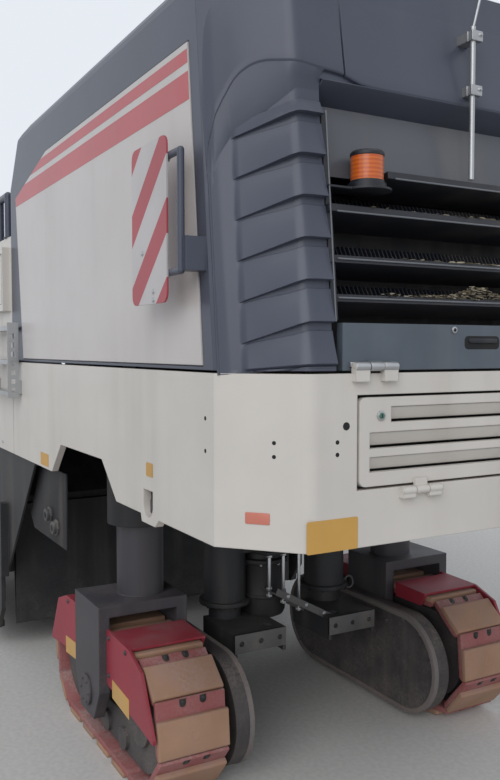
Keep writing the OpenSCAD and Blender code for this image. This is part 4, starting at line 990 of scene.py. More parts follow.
def buildGrille(v):
    slope = math.tan(math.radians(v["slope"]))

    def bladeFront(z, back):
        return v["front"] + leanStation(z) * v["lean"] + back

    # painted highlight: rods of lighter grey along the blades' rolled front edges, standing in for the light
    # they catch
    bm = bmesh.new()
    for z, line in zip(v["edges"], v["line"]):
        end = v["half"] - (v["shortTop"] if z == v["edges"][0] else 0.0)
        s = bladeFront(z, -0.0005)
        addRod(bm, at(s, -v["half"], z + line), at(s, end, z + line), 0.0028, 8)
    # painted highlight: rods of lighter grey on the frame's upright edges beside the louvres
    y, low, high = v["upright"]
    for sign in (1, -1):
        addRod(bm, *(at(s, sign * y, z) for s, z in (low, high)), 0.0022, 8)
    fromBmesh("grilleHighlightRods", bm, ["grilleEdgeHighlight"], "hood", "dark_paint")

    bm = bmesh.new()
    count = int(2 * v["half"] / v["fins"])
    for z, depth in v["finRows"]:
        near = bladeFront(z, 0.055)
        low = z + 0.020 - slope * 0.055
        outline = [
            (near, low), (near + 0.05, low - 0.010), (near + 0.05, low + depth), (near + 0.028, low + depth),
        ]
        for k in range(1, count):
            y = -v["half"] + k * v["fins"]
            addPrism(bm, outline, sidePlace, y - 0.0012, y + 0.0012)
    fromBmesh("grilleFins", bm, ["grillePaint"], "hood", "dark_paint")

    rng = random.Random(v["seed"])
    leaf = [(-1, 0, 0), (-0.4, 0.32, 0.1), (0.4, 0.3, 0.14), (1, 0, 0), (0.4, -0.3, 0.14), (-0.4, -0.32, 0.1)]
    bm = bmesh.new()
    for k in range(v["leaves"]):
        z = rng.choice(v["edges"][1:])
        y = rng.gauss(-0.05, 0.33)
        if abs(y) > 0.72:
            continue
        depth = rng.uniform(0.006, 0.06)
        centre = at(bladeFront(z, depth), y, z + 0.024 - slope * depth)
        size = rng.uniform(0.006, 0.017)
        if k % 2 and z == v["edges"][-1]:
            # stalks and leaves caught upright on the lowest blade
            y = rng.gauss(0.25, 0.13)
            size *= 0.62
            heap = 0.030 + 0.035 * math.exp(-((y - 0.20) / 0.08) ** 2)
            centre = at(v["front"] + rng.uniform(0.004, 0.03), y, z + rng.uniform(0.020, heap))
        turn = Matrix.Rotation(rng.uniform(0, math.pi), 4, "Z")
        turn = turn @ Matrix.Rotation(rng.uniform(-0.9, 0.9), 4, "X")
        bm.faces.new([bm.verts.new(centre + turn @ (Vector(q) * size)) for q in leaf])
    fromBmesh("grilleLeaves", bm, ["dryLeaf"], "hood", "dark_paint")


buildGrille(grille)
print("grille made")


yellowPlates = {
    "rear": (0.7975, 1.304, 0.178, 0.094),
    "side": (0.715, 1.4215, 0.060, 0.048),
    "tank": (2.062, 1.300, 0.140, 0.062),
}
skirt = {
    "y": 1.0681, "reflector": (0.161, 1.350, 0.075, 0.034),
    "rearHoles": ((0.782, 1.572, 0.0065, 14), (0.782, 1.536, 0.0065, 14), (0.751, 1.617, 0.012, 18)),
    "sideHoles": ((0.276, 1.633), (0.276, 1.535)), "sideDepth": (1.0655, 1.0686),
    "cornerHoles": ((0.1113, 1.571), (0.1113, 1.531)),
    "lock": (0.626, 1.643), "sillLock": (0.335, 1.899), "sillPull": (0.215, 1.860, 1.866),
    "hook": (
        (0.700, 1.262), (0.760, 1.262), (0.760, 1.310), (0.742, 1.310),
        (0.742, 1.284), (0.718, 1.284), (0.718, 1.330), (0.700, 1.330),
    ),
    "hookY": (1.026, 1.048), "backing": (0.66, 0.80, 1.245, 1.36), "backingY": (1.0335, 1.0375),
    "hinge": {"z": 1.789, "first": 0.577, "step": 0.052, "out": -0.012, "leaf": (0.572, 0.738, 1.788, 1.802)},
}


def buildRearDetails(v):
    bm = bmesh.new()
    for name, (a, z, width, height) in yellowPlates.items():
        outline = roundedBox(width, height, 0.006, (a, z))
        if name == "rear":
            addPrism(bm, outline, rearPlace, -0.0002, -0.0014)
        else:
            for sign in (1, -1):
                addPrism(bm, outline, sidePlace, sign * v["y"], sign * (v["y"] + 0.0011))
    fromBmesh("yellowLabels", bm, ["labelYellow"], "machine", "cream_paint")

    # reflector on the cut corner
    bm = bmesh.new()
    u, z, width, height = v["reflector"]
    for sign in (1, -1):
        addPrism(bm, roundedBox(width, height, 0.004, (u, z)), cornerPlace(sign), 0.0002, 0.0022)
    fromBmesh("cornerReflectors", bm, ["reflectorRed"], "machine", "cream_paint", bevel=0.0006)

    # empty screw holes in the skirt, drawn as black discs: painted shade inside the holes
    bm = bmesh.new()
    for sign in (1, -1):
        for y, z, r, sides in v["rearHoles"]:
            addRod(bm, at(-0.0006, sign * y, z), at(0.002, sign * y, z), r, sides)
        for s, z in v["sideHoles"]:
            addRod(bm, *(at(s, sign * y, z) for y in v["sideDepth"]), 0.0065, 14)
        place = cornerPlace(sign)
        for spot in v["cornerHoles"]:
            addRod(bm, place(spot, -0.001), place(spot, 0.0006), 0.006, 14)
    fromBmesh("skirtHoleShadeDiscs", bm, ["blackAndHoleShade"], "machine", "cream_paint")

    # locks of the louvred flap and of the flap above it
    bm = bmesh.new()
    y, z = v["lock"]
    addRod(bm, at(-0.004, y, z), at(0.004, y, z), 0.015, 24)
    addRod(bm, at(-0.007, y, z), at(-0.003, y, z), 0.009, 18, 1)
    # painted shade: a black strip for the key slot
    addPrism(bm, flatBox(y - 0.0015, y + 0.0015, z - 0.006, z + 0.006), rearPlace, -0.0078, -0.0068, 2)
    finishNames = ["galvanised", "lockGreen", "blackAndHoleShade"]
    fromBmesh("flapLock", bm, finishNames, "louvre_flap", "galvanised", bevel=0.0008)
    bm = bmesh.new()
    y, z = v["sillLock"]
    addRod(bm, at(0.004, y, z), at(0.010, y, z), 0.0105, 24)
    # painted shade: a black disc for the keyway and a black pocket behind the pull
    addRod(bm, at(0.002, y, z), at(0.008, y, z), 0.0055, 18, 1)
    y, low, high = v["sillPull"]
    addPrism(bm, roundedBox(0.150, 0.042, 0.014, (y, low)), rearPlace, 0.0072, 0.0084, 1)
    addPrism(bm, roundedBox(0.120, 0.014, 0.006, (y, high)), rearPlace, 0.0015, 0.0078, 2)
    finishNames = ["galvanised", "blackAndHoleShade", "grillePaint"]
    fromBmesh("sillLock", bm, finishNames, "rear_flap", "galvanised", bevel=0.0008)

    # hooks behind the hoisting slots, on a black backing plate: painted shade inside the slots
    bm = bmesh.new()
    for sign in (1, -1):
        addPrism(bm, v["hook"], sidePlace, *(sign * y for y in v["hookY"]))
        addPrism(bm, flatBox(*v["backing"]), sidePlace, *(sign * y for y in v["backingY"]), 1)
    fromBmesh("hoistHooks", bm, ["yokeGrey", "blackAndHoleShade"], "machine", "frame_paint", bevel=0.003)

    # bright knuckles and leaves of the flap's upper hinge
    bm = bmesh.new()
    hinge = v["hinge"]
    for sign in (1, -1):
        for k in range(3):
            y = hinge["first"] + k * hinge["step"]
            for start, end, r in ((0.0015, 0.0495, 0.0136), (-0.001, 0.002, 0.0112)):
                spots = [at(hinge["out"], sign * (y + step), hinge["z"]) for step in (start, end)]
                addRod(bm, *spots, r, 20)
        leaf = [(sign * y, z) for y, z in flatBox(*hinge["leaf"])]
        addPrism(bm, leaf, rearPlace, -0.0024, 0.0076)
    fromBmesh("sillHinges", bm, ["galvanised"], "machine", "galvanised", bevel=0.0012)


buildRearDetails(skirt)
print("rear details made")


track = {
    "shoes": 16, "phase": 0.88, "a": 0.405, "plateR": 0.259, "z": 0.295, "y": 0.790, "width": 0.306,
    "pad": 0.150, "padTop": 0.036, "plateTop": 0.012, "plateLow": -0.014, "links": 0.060,
    "notches": (0.037, -0.052), "stations": (("rear", 1.640), ("front", 6.240)),
    "ring": ((0.015, -0.0004), (0.017, 0.0014), (0.020, 0.0014), (0.022, -0.0004)),
}


def pathPoint(v, d):
    a, r = v["a"], v["plateR"]
    loop = 4 * a + 2 * math.pi * r
    d = d % loop
    if d < 2 * a:
        return d - a, -r, 0.0
    if d < 2 * a + math.pi * r:
        turn = (d - 2 * a) / r
        return a + r * math.sin(turn), -r * math.cos(turn), turn
    if d < 4 * a + math.pi * r:
        return 3 * a + math.pi * r - d, r, math.pi
    turn = (d - 4 * a - math.pi * r) / r + math.pi
    return -a + r * math.sin(turn), -r * math.cos(turn), turn


def buildShoe(bm, v, shoePlace, pitch, bent, sign):
    # one shoe: plate, pad, chain link, and notches with bolts at the plate's far edge
    half, top, long = v["width"] / 2, v["padTop"], v["pad"] / 2
    plateTop, plateLow = v["plateTop"], v["plateLow"]
    pad = [
        (-long, plateTop), (-long, top - 0.005), (-long + 0.006, top),
        (long - 0.006, top), (long, top - 0.005), (long, plateTop),
    ]
    addPrism(bm, pad, shoePlace, -half, half, 0)
    strip = 0.146 if bent else pitch - long - 0.003
    plate = [
        (-strip + 0.010, plateLow), (-strip, plateTop - 0.010), (-strip + 0.003, plateTop),
        (long + 0.004, plateTop), (long + 0.006, plateTop - 0.008), (long - 0.012, plateLow),
    ]
    addPrism(bm, plate, shoePlace, -half + 0.003, half - 0.003, 1)
    reach = pitch / 2 - 0.004
    link = [
        (-reach - 0.012, plateLow - 0.002), (reach + 0.012, plateLow - 0.002),
        (reach + 0.004, plateLow - 0.038), (-reach - 0.004, plateLow - 0.038),
    ]
    for middle in (-v["links"], v["links"]):
        addPrism(bm, link, shoePlace, middle - 0.015, middle + 0.015, 2)

    def levels(outline, low, high):
        return [[shoePlace((x, plateTop + rise), y) for x, y in outline] for rise in (low, high)]

    tip = -strip + 0.003
    for y in (sign * place for place in v["notches"]):
        notch = [(tip, y - 0.015), (tip, y + 0.015)]
        for n in range(9):
            a = math.pi * n / 8
            notch.append((tip + 0.018 + 0.015 * math.sin(a), y + 0.015 * math.cos(a)))
        # painted shade: the notch is a thin black cap on the plate
        addCap(bm, *levels(notch, -0.0004, 0.0010), 3)
        bolt = [(tip + 0.013 + 0.0075 * math.cos(a), y + 0.0075 * math.sin(a)) for a in circle(6)]
        addCap(bm, *levels(bolt, 0.0008, 0.006), 2)
    # moulded ring in the middle of the pad
    rings = []
    for r, rise in v["ring"]:
        rings.append([
            bm.verts.new(shoePlace((r * math.cos(a), top + rise), r * math.sin(a))) for a in circle(20)
        ])
    addSheet(bm, rings, True, 0)


def buildTracks(v):
    pitch = (4 * v["a"] + 2 * math.pi * v["plateR"]) / v["shoes"]
    for end, station in v["stations"]:
        for side, sign in bothSides:
            bm = bmesh.new()
            for k in range(v["shoes"]):
                x, z, turn = pathPoint(v, (k + v["phase"]) * pitch)
                before = pathPoint(v, (k - 1 + v["phase"]) * pitch)[2]

                def shoePlace(p, depth, x=x, z=z, turn=turn):
                    along, out = p
                    return at(
                        station + x + along * math.cos(turn) + out * math.sin(turn),
                        sign * v["y"] + depth,
                        v["z"] + z + along * math.sin(turn) - out * math.cos(turn),
                    )

                buildShoe(bm, v, shoePlace, pitch, (turn - before) % (2 * math.pi) > 0.7, sign)
            place = end + "_" + side
            finishNames = ["padTan", "plateRed", "frameSteel", "blackAndHoleShade"]
            piece = fromBmesh(
                "trackShoes_" + place, bm, finishNames, "track_" + place, "track_pads", bevel=0.0022
            )
            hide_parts("track_shoes_" + place)


cover = {
    "label": ((0.240, 0.416), (0.440, 0.402), (0.440, 0.318), (0.240, 0.336)), "out": 0.023,
    "bolts": ((0.20, 0.585), (0.20, 0.42), (0.40, 0.585)),
    "pin": 0.058, "pinR": 0.070, "inner": 0.142, "guard": (0.405, 0.275, 0.215),
}


def buildCovers(v, trackValues):
    for end, station in trackValues["stations"]:
        for side, sign in bothSides:
            body = "track_" + end + "_" + side
            edge = trackValues["width"] / 2
            outer = trackValues["y"] + edge + v["out"]
            labels = bmesh.new()
            for way in (-1, 1):
                outline = [(station + way * x, z) for x, z in v["label"]]
                addPrism(labels, outline, sidePlace, sign * (outer + 0.0002), sign * (outer + 0.0012))
            fromBmesh("coverLabels_" + end + "_" + side, labels, ["labelYellow"], body, "red_paint")
            bm = bmesh.new()
            for way in (-1, 1):
                for x, z in v["bolts"]:
                    addBolt(bm, at(station + way * x, sign * outer, z), (0, sign, 0), 0.008, 0.007)
            # pin end in the yoke with its keeper plate
            axle, pin = trackValues["z"], trackValues["y"] + edge + v["pin"]
            addRod(bm, at(station, sign * pin, axle), at(station, sign * (pin + 0.012), axle), v["pinR"], 32)

            def keeperPlace(a, b):
                return at(station + a, sign * (pin + 0.012), axle + b)

            addBoltRing(bm, 6, 0.052, keeperPlace, (0, sign, 0), (0.007, 0.006))
            # bolts around the inner guard
            inner = trackValues["y"] - edge - v["inner"]
            run, middle, r = v["guard"]
            for way in (-1, 1):
                for k in range(5):
                    a = math.pi + way * math.pi * (k + 0.5) / 5
                    spot = at(station + way * run - math.cos(a) * r, sign * inner, middle + math.sin(a) * r)
                    addBolt(bm, spot, (0, -sign, 0), 0.008, 0.006)
            name = "trackBolts_" + end + "_" + side
            fromBmesh(name, bm, ["yokeGrey"], body, "dark_paint", bevel=0.001, segments=1)


buildTracks(track)
buildCovers(cover, track)
print("tracks made")


seat = {
    "s": 3.260, "y": 0.640, "z": 1.829, "size": (0.420, 0.440, 0.088), "back": (0.440, 0.416, 0.078),
    "cushionAt": (0.008, 0, 0.468), "cushionTilt": -3, "backAt": (-0.226, 0, 0.745), "lean": 9.0,
    "crown": 0.010, "pull": 0.010, "corner": 0.024, "seam": 0.004, "channels": (-0.33, 0.02, 0.37),
    "pan": ((-0.190, 0.402), (0.190, 0.402), (0.205, 0.430), (-0.200, 0.424)),
    "shell": ((-0.225, 0.470), (-0.236, 0.470), (-0.297, 0.930), (-0.285, 0.930)),
    "arm": (
        (-0.222, 0.655), (-0.150, 0.648), (0.104, 0.660), (0.114, 0.672), (0.112, 0.688), (-0.228, 0.690),
    ),
    "post": ((-0.218, 0.505), (-0.178, 0.505), (-0.190, 0.660), (-0.222, 0.660)),
}


def cushionPoint(v, size, x, y, z, channels):
    # x, y, z run from -1 to 1 over a box; the sides pull in and the faces crown
    crown = v["crown"] * (1 - x * x) * (1 - y * y)
    px = x * (size[0] / 2 - v["pull"] * (1 - y * y) * (1 - z * z) * 0.6)
    py = y * (size[1] / 2 - v["pull"] * (1 - x * x) * (1 - z * z) * 0.6)
    pz = z * (size[2] / 2 - v["crown"]) + (crown if z > 0 else -0.15 * crown) * abs(z)
    # rounded edges
    for a, b in ((abs(x), abs(y)), (abs(y), abs(z)), (abs(x), abs(z))):
        over = max(0.0, a - 0.86) * max(0.0, b - 0.80) / 0.028
        shrink = 1 - over * v["corner"] * 1.6
        px, py, pz = px * shrink, py * shrink, pz * (1 - over * v["corner"] * 3)
    if z > 0.6:
        for place in channels:
            pz -= 0.007 * math.exp(-((x - place) / 0.035) ** 2) * min(1.0, (1 - abs(y)) * 7)
        ring = max(abs(x), abs(y))
        pz -= v["seam"] * math.exp(-((ring - 0.86) / 0.022) ** 2)
    return Vector((px, py, pz))


def addCushion(bm, v, size, place, channels, cells=34):
    # six faces of a fine box, shaped point by point
    steps = [-1 + 2 * k / cells for k in range(cells + 1)]
    rise = [-1 + 2 * k / 10 for k in range(11)]
    for fixed, first, second in (("z", steps, steps), ("x", steps, rise), ("y", steps, rise)):
        for end in (-1, 1):
            grid = []
            for a in first:
                row = []
                for b in second:
                    x, y, z = {"z": (a, b, end), "x": (end, a, b), "y": (a, end, b)}[fixed]
                    row.append(bm.verts.new(place(cushionPoint(v, size, x, y, z, channels))))
                grid.append(row)
            addSheet(bm, grid)
    bmesh.ops.remove_doubles(bm, verts=bm.verts, dist=0.0001)


def buildSeats(v):
    frames = bmesh.new()
    low = v["z"]
    for side, sign in bothSides:
        y = sign * v["y"]
        origin = at(v["s"], y, low)
        for name, size, centre, tilt, channels in (
            ("Cushion_", v["size"], v["cushionAt"], v["cushionTilt"], v["channels"][1:2]),
            ("Back_", v["back"], v["backAt"], 90 - v["lean"], v["channels"]),
        ):
            turn = Matrix.Rotation(math.radians(tilt), 3, "Y")
            middle = origin + Vector(centre)
            bm = bmesh.new()
            addCushion(bm, v, size, lambda p: middle + turn @ p, channels)
            piece = fromBmesh("seat" + name + side, bm, ["seatVinyl"], "machine", "seat_cover", smooth=60)
            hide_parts("seats")
        # foot, post and bellows
        for bottom, high, r, sides, finish in (
            (0.0, 0.014, 0.100, 32, 1),
            (0.012, 0.400, 0.050, 28, 1),
            *((0.10 + k * 0.031, 0.116 + k * 0.031, 0.060, 28, 0) for k in range(9)),
        ):
            addRod(frames, at(v["s"], y, low + bottom), at(v["s"], y, low + high), r, sides, finish)
        # pan, shell behind the back, arm rests and their posts
        shapes = [("pan", -0.195, 0.195, 1), ("shell", -0.180, 0.180, 1)]
        for way in (-1, 1):
            shapes += [("arm", way * 0.192, way * 0.226, 0), ("post", way * 0.202, way * 0.216, 1)]
        for shape, near, far, finish in shapes:
            outline = [(v["s"] + a, low + b) for a, b in v[shape]]
            addPrism(frames, outline, sidePlace, y + near, y + far, finish)
    piece = fromBmesh("seatFrames", frames, ["seatVinyl", "frameSteel"], "machine", "seat_cover", bevel=0.006)
    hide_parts("seats")


under = {
    "plate": 0.845, "body": (1.620, 0.090), "rods": (0.140, 0.060, -0.030), "rodStation": 1.470,
    "plateOutline": (
        (1.545, -0.300), (1.545, -0.090), (1.440, -0.060), (1.440, 0.170),
        (1.545, 0.200), (1.545, 0.300), (1.735, 0.300), (1.735, -0.300),
    ),
    "profile": (
        (0.0, 0.505), (0.080, 0.507), (0.103, 0.518), (0.113, 0.540), (0.113, 0.610), (0.118, 0.613),
        (0.118, 0.627), (0.113, 0.630), (0.113, 0.780), (0.126, 0.783), (0.126, 0.803), (0.100, 0.806),
        (0.100, 0.845),
    ),
    "trayEnds": ((0.150, 0.665), (-0.290, 0.425)), "trays": ((1.400, 1.560, 0.0), (1.575, 1.700, -0.020)),
    "shackle": (1.600, 0.430, 0.600), "postRing": (1.640, 0.295, 0.593),
    "endPlate": (0.125, 0.399, 0.440, 0.527), "endStations": (1.336, 1.350),
    "endBolts": ((0.160, 0.484), (0.262, 0.484), (0.364, 0.484)),
    "hosePlate": ((1.960, 0.860), (1.960, 1.235), (2.420, 1.235), (2.640, 0.930), (2.560, 0.860)),
    "hoseY": (0.984, 0.994), "couplings": ((2.237, 0.990), (2.119, 0.945)),
    "couplingParts": ((0.994, 1.004, 0.042, 8, 1), (1.000, 1.022, 0.032, 28, 1), (1.018, 1.024, 0.019, 6, 2)),
}


def buildUnderBody(v):
    # what the photograph shows between the rear columns
    bm = bmesh.new()
    top = v["plate"]
    addPrism(bm, v["plateOutline"], topPlace, top, top + 0.018)
    s, y = v["body"]
    addLathe(bm, at(s, y, 0), v["profile"])
    addBoltRing(bm, 8, 0.116, lambda a, b: at(s + a, y + b, 0.783), (0, 0, -1), (0.007, 0.008), 0.2, 1)

    # trays that slope down to the right, with rolled edges
    (y0, z0), (y1, z1) = v["trayEnds"]
    run = Vector((y1 - y0, z1 - z0)).normalized()
    up = Vector((-run.y, run.x))
    if up.y < 0:
        up = -up
    for near, far, low in v["trays"]:
        for thick, back, front in ((0.008, near, far), (0.034, near - 0.006, near)):
            outline = [
                (y0, z0 + low), (y1, z1 + low),
                (y1 + up.x * thick, z1 + low + up.y * thick), (y0 + up.x * thick, z0 + low + up.y * thick),
            ]
            addPrism(bm, outline, rearPlace, back, front, 2)
        for k in range(4):
            f = (k + 0.6) / 4.2
            y, z = y0 + (y1 - y0) * f + up.x * 0.020, z0 + low + (z1 - z0) * f + up.y * 0.020
            addBolt(bm, at(near - 0.006, y, z), (-1, 0, 0), 0.006, 0.006, 1)
    s = v["rodStation"]
    for y in v["rods"]:
        foot = z0 + (z1 - z0) * (y - y0) / (y1 - y0) - 0.024
        addRod(bm, at(s, y, foot), at(s, y, top + 0.004), 0.0085, 14, 1)
        for z in (foot + 0.004, foot + 0.036, top - 0.014):
            addRod(bm, at(s, y, z), at(s, y, z + 0.012), 0.0165, 6, 1)

    # shackle on the right post's flange
    s, y, z = v["shackle"]
    ring = []
    for a in circle(12) + [2 * math.pi]:
        ring.append(at(s + 0.004 * math.sin(a), -y + 0.026 * math.cos(a), z + 0.030 * math.sin(a)))
    addTube(bm, ring, 0.006, 8, 2)

    # end plates that close the brackets, and the bolts round the posts' flanges
    s, y, z = v["postRing"]
    near, far = v["endStations"]
    for sign in (1, -1):
        addPrism(bm, [(sign * a, b) for a, b in flatBox(*v["endPlate"])], rearPlace, near, far, 2)
        for a, b in v["endBolts"]:
            addBolt(bm, at(near, sign * a, b), (-1, 0, 0), 0.008, 0.008, 0)
        addBoltRing(
            bm, 10, 0.115, lambda a, b: at(s + a, sign * (y + b), z), (0, 0, -1), (0.007, 0.008)
        )
    finishNames = ["underSteelShaded", "galvanised", "trayGrey"]
    fromBmesh("underBody", bm, finishNames, "machine", "frame_paint", bevel=0.0015)

    # hose plate with its couplings ahead of the drum housing's wing
    bm = bmesh.new()
    for sign in (1, -1):
        addPrism(bm, v["hosePlate"], sidePlace, *(sign * y for y in v["hoseY"]), 0)
        for s, z in v["couplings"]:
            for near, far, r, sides, finish in v["couplingParts"]:
                addRod(bm, at(s, sign * near, z), at(s, sign * far, z), r, sides, finish)
    finishNames = ["underSteelShaded", "couplingGrey", "blackAndHoleShade"]
    fromBmesh("hosePlates", bm, finishNames, "machine", "frame_paint", bevel=0.0015)


guard = {
    "a": 0.405, "r": 0.245, "z": 0.275, "inner": 0.495,
    "rim": ((0.002, 0.020), (0.002, -0.003), (-0.004, -0.005), (-0.020, -0.005), (-0.023, 0.001)),
}


def buildGuardRims(v):
    # welded rim round the inner guard of each track
    for end, station in track["stations"]:
        for side, sign in bothSides:
            bm = bmesh.new()
            rings = []
            for way, start in ((1, -90), (-1, 90)):
                for k in range(19):
                    a = math.radians(start + 180 * k / 18)
                    rings.append([
                        bm.verts.new(at(
                            station + way * v["a"] + (v["r"] + out) * math.cos(a),
                            sign * (v["inner"] + aside),
                            v["z"] + (v["r"] + out) * math.sin(a),
                        ))
                        for out, aside in v["rim"]
                    ])
            addSheet(bm, rings + rings[:1])
            place = end + "_" + side
            fromBmesh("guardRims_" + place, bm, ["guardDust"], "track_" + place, "dark_paint")


drum = {
    "s": 3.950, "z": 0.670, "half": 0.980, "rows": 26, "starts": 3, "wrap": 300.0,
    "pick": ((-0.012, 0.448), (0.010, 0.482), (0.0155, 0.491), (0.024, 0.5065)),
}


def buildPicks(v):
    # pick bodies with carbide tips, on the same helices as the holders
    bm = bmesh.new()
    for sign in (1, -1):
        for start in range(v["starts"]):
            for row in range(v["rows"]):
                y = sign * (row + 0.5) * (v["half"] - 0.020) / v["rows"]
                degrees = sign * (start * 360 / v["starts"] + row * v["wrap"] / v["rows"])
                turn = Matrix.Rotation(math.radians(degrees), 3, "Y")
                middle = at(v["s"], y, v["z"])
                foot, collar, neck, tip = (middle + turn @ Vector((x, 0, z)) for x, z in v["pick"])
                addRod(bm, foot, collar, 0.0235, 14, 0)
                addRod(bm, collar - (collar - foot) * 0.16, collar, 0.027, 14, 0)
                addCone(bm, collar, neck, 0.017, 0.0105, 12, 0, tip - collar)
                addCone(bm, neck, tip, 0.0095, 0.003, 12, 1, tip - collar)
    fromBmesh("drumPicks", bm, ["drumSteel", "pickCarbide"], "milling_drum", "drum_steel")


boom = {
    "s": 7.440, "z": 1.150, "rise": 10.0, "tail": -0.060, "head": 7.610, "top": 0.040, "step": 0.250,
    "cleats": ((0.020, 0.170, 0.0), (0.200, 0.370, 0.075)), "cleatRake": 0.07,
    "ribs": 9, "firstRib": 0.580, "ribStep": 0.790, "ribY": 0.4695, "ribBolts": (-0.075, 0.150),
    "lip": ((0.430, 0.186), (0.450, 0.186), (0.450, 0.1935), (0.430, 0.1935)), "lipEnds": (0.02, 7.69),
    "hub": (0.4462, 0.462, -0.022, 0.052),
}


def boomPlace(x, y, z):
    a = math.radians(boom["rise"])
    return at(boom["s"] + x * math.cos(a) - z * math.sin(a), y, boom["z"] + x * math.sin(a) + z * math.cos(a))


def buildBelt(v):
    # chevron cleats on the belt
    bm = bmesh.new()
    for k in range(1, int((v["head"] - v["tail"]) / v["step"])):
        for way in (-1, 1):
            for inner, outer, shift in v["cleats"]:
                x = v["tail"] + k * v["step"] + 0.16 - shift
                if x + 0.03 > v["head"]:
                    continue
                near, far = (x, way * inner), (x - v["cleatRake"], way * outer)
                outline = [near, far, (far[0] + 0.022, far[1]), (near[0] + 0.022, near[1])]
                addPrism(bm, outline, lambda p, d: boomPlace(*p, d), v["top"] - 0.001, v["top"] + 0.009)
    fromBmesh("beltCleats", bm, ["beltRubber"], "loading_conveyor", "belt_rubber", bevel=0.002, segments=1)

    # bolts in the trough's ribs, rolled lips on its edges, and the head roller's hubs
    bm = bmesh.new()
    near, far, hubZ, r = v["hub"]
    for sign in (1, -1):
        for k in range(v["ribs"]):
            for z in v["ribBolts"]:
                addBolt(bm, boomPlace(v["firstRib"] + v["ribStep"] * k, sign * v["ribY"], z), (0, sign, 0))
        addPrism(bm, v["lip"], lambda p, d: boomPlace(d, sign * p[0], p[1]), *v["lipEnds"], 1)
        addRod(bm, boomPlace(v["head"], sign * near, hubZ), boomPlace(v["head"], sign * far, hubZ), r, 28, 2)

        def hubPlace(a, b):
            return boomPlace(v["head"] + a, sign * far, hubZ + b)

        addBoltRing(bm, 4, 0.036, hubPlace, (0, sign, 0), (0.006, 0.006), math.pi / 4)
    finishNames = ["galvanised", "bodyCream", "frameSteel"]
    fromBmesh("troughDetails", bm, finishNames, "loading_conveyor", "cream_paint", bevel=0.001, segments=1)


platform = {
    "deckZ": 1.829, "deck": (2.765, -0.980, 1.98, 1.96), "step": 0.056, "consoles": (4.26, 4.69, 0.41, 0.92),
    "lozenge": (
        (0.017, 0), (0.008, 0.0038), (-0.008, 0.0038), (-0.017, 0), (-0.008, -0.0038), (0.008, -0.0038),
    ),
    "posts": ((2.810, 0.028), (3.010, 0.028), (3.700, 0.0285), (4.740, 0.0285)), "postY": 1.053,
    "foot": (2.4602, 2.468), "lid": (5.350, 0.420, 2.440),
    "lidProfile": (
        (0.095, 0.0), (0.102, 0.004), (0.102, 0.052), (0.098, 0.060), (0.088, 0.0645), (0.0, 0.067),
    ),
    "panel": (4.400, 0.665, 2.540), "panelSlope": (0.120, 0.260),
}


def buildPlatform(v):
    # raised lozenges of the tread plate between the seats and the consoles
    bm = bmesh.new()
    s0, y0, length, width = v["deck"]
    near, far, inner, outer = v["consoles"]
    for i in range(int(length / v["step"])):
        for j in range(int(width / v["step"])):
            s, y = s0 + i * v["step"], y0 + j * v["step"]
            if near < s < far and inner < abs(y) < outer:
                continue
            turn = math.radians(45 if (i + j) % 2 else -45)
            c, q = math.cos(turn), math.sin(turn)
            spots = [(a * c - b * q, a * q + b * c) for a, b in v["lozenge"]]
            addCap(
                bm,
                [at(s + a, y + b, v["deckZ"]) for a, b in spots],
                [at(s + a * 0.8, y + b * 0.8, v["deckZ"] + 0.0018) for a, b in spots],
            )
    fromBmesh("deckTread", bm, ["frameSteel"], "machine", "frame_paint")

    # feet of the rails' posts and the lids of the tank
    bm = bmesh.new()
    for sign in (1, -1):
        for s, r in v["posts"]:
            addRod(bm, *(at(s, sign * v["postY"], z) for z in v["foot"]), r, 24, 0)
        s, y, z = v["lid"]
        lid = at(s, sign * y, z)
        addLathe(bm, lid, v["lidProfile"], 40, 0)
        for a in circle(12):
            x, y = 0.101 * math.cos(a), 0.101 * math.sin(a)
            addRod(bm, lid + Vector((x, y, 0.010)), lid + Vector((x, y, 0.050)), 0.006, 8, 0)
    fromBmesh("platformFittings", bm, ["hoodPaint"], "machine", "dark_paint", bevel=0.001, segments=1)

    # panels on top of the consoles with a blank screen, knobs and a lever
    bm = bmesh.new()
    turn = Matrix.Rotation(-math.atan2(*v["panelSlope"]), 3, "Y")
    s, y, z = v["panel"]
    for sign in (1, -1):
        def panelPlace(p, depth):
            return at(s, sign * y, z) + turn @ Vector((p[0], p[1], depth))

        addPrism(bm, roundedBox(0.225, 0.400, 0.018), panelPlace, -0.001, 0.004, 0)
        addPrism(bm, roundedBox(0.120, 0.170, 0.008, (0.030, -0.085)), panelPlace, 0.003, 0.009, 1)
        for k in range(5):
            knob = (-0.075, -0.150 + 0.036 * k)
            addRod(bm, panelPlace(knob, 0.004), panelPlace(knob, 0.014), 0.010, 18, 1)
        addRod(bm, panelPlace((0.0, 0.110), 0.003), panelPlace((0.0, 0.110), 0.016), 0.030, 24, 1)
        addRod(bm, panelPlace((0.0, 0.110), 0.014), panelPlace((0.004, 0.110), 0.040), 0.006, 12, 2)
        addBall(bm, panelPlace((0.005, 0.110), 0.046), 0.015, 1)
    finishNames = ["frameSteel", "blackAndHoleShade", "rodChrome"]
    fromBmesh("consolePanels", bm, finishNames, "machine", "dark_paint", bevel=0.0012, segments=1)


lift = {
    "s": 7.630, "z": 2.400, "y": 0.636, "fall": -22.29,
    "rings": ((1.2487, 1.2987, 0.0555), (1.2907, 1.3067, 0.046), (0.070, 0.082, 0.0540)),
    "ports": (0.150, 1.1907),
    "pins": ((7.440, 1.150, 0.580, 0.040, 0.0045), (7.630, 2.400, 0.670, 0.025, 0.0165)),
    "bearing": (7.440, 0.185, 0.858),
}


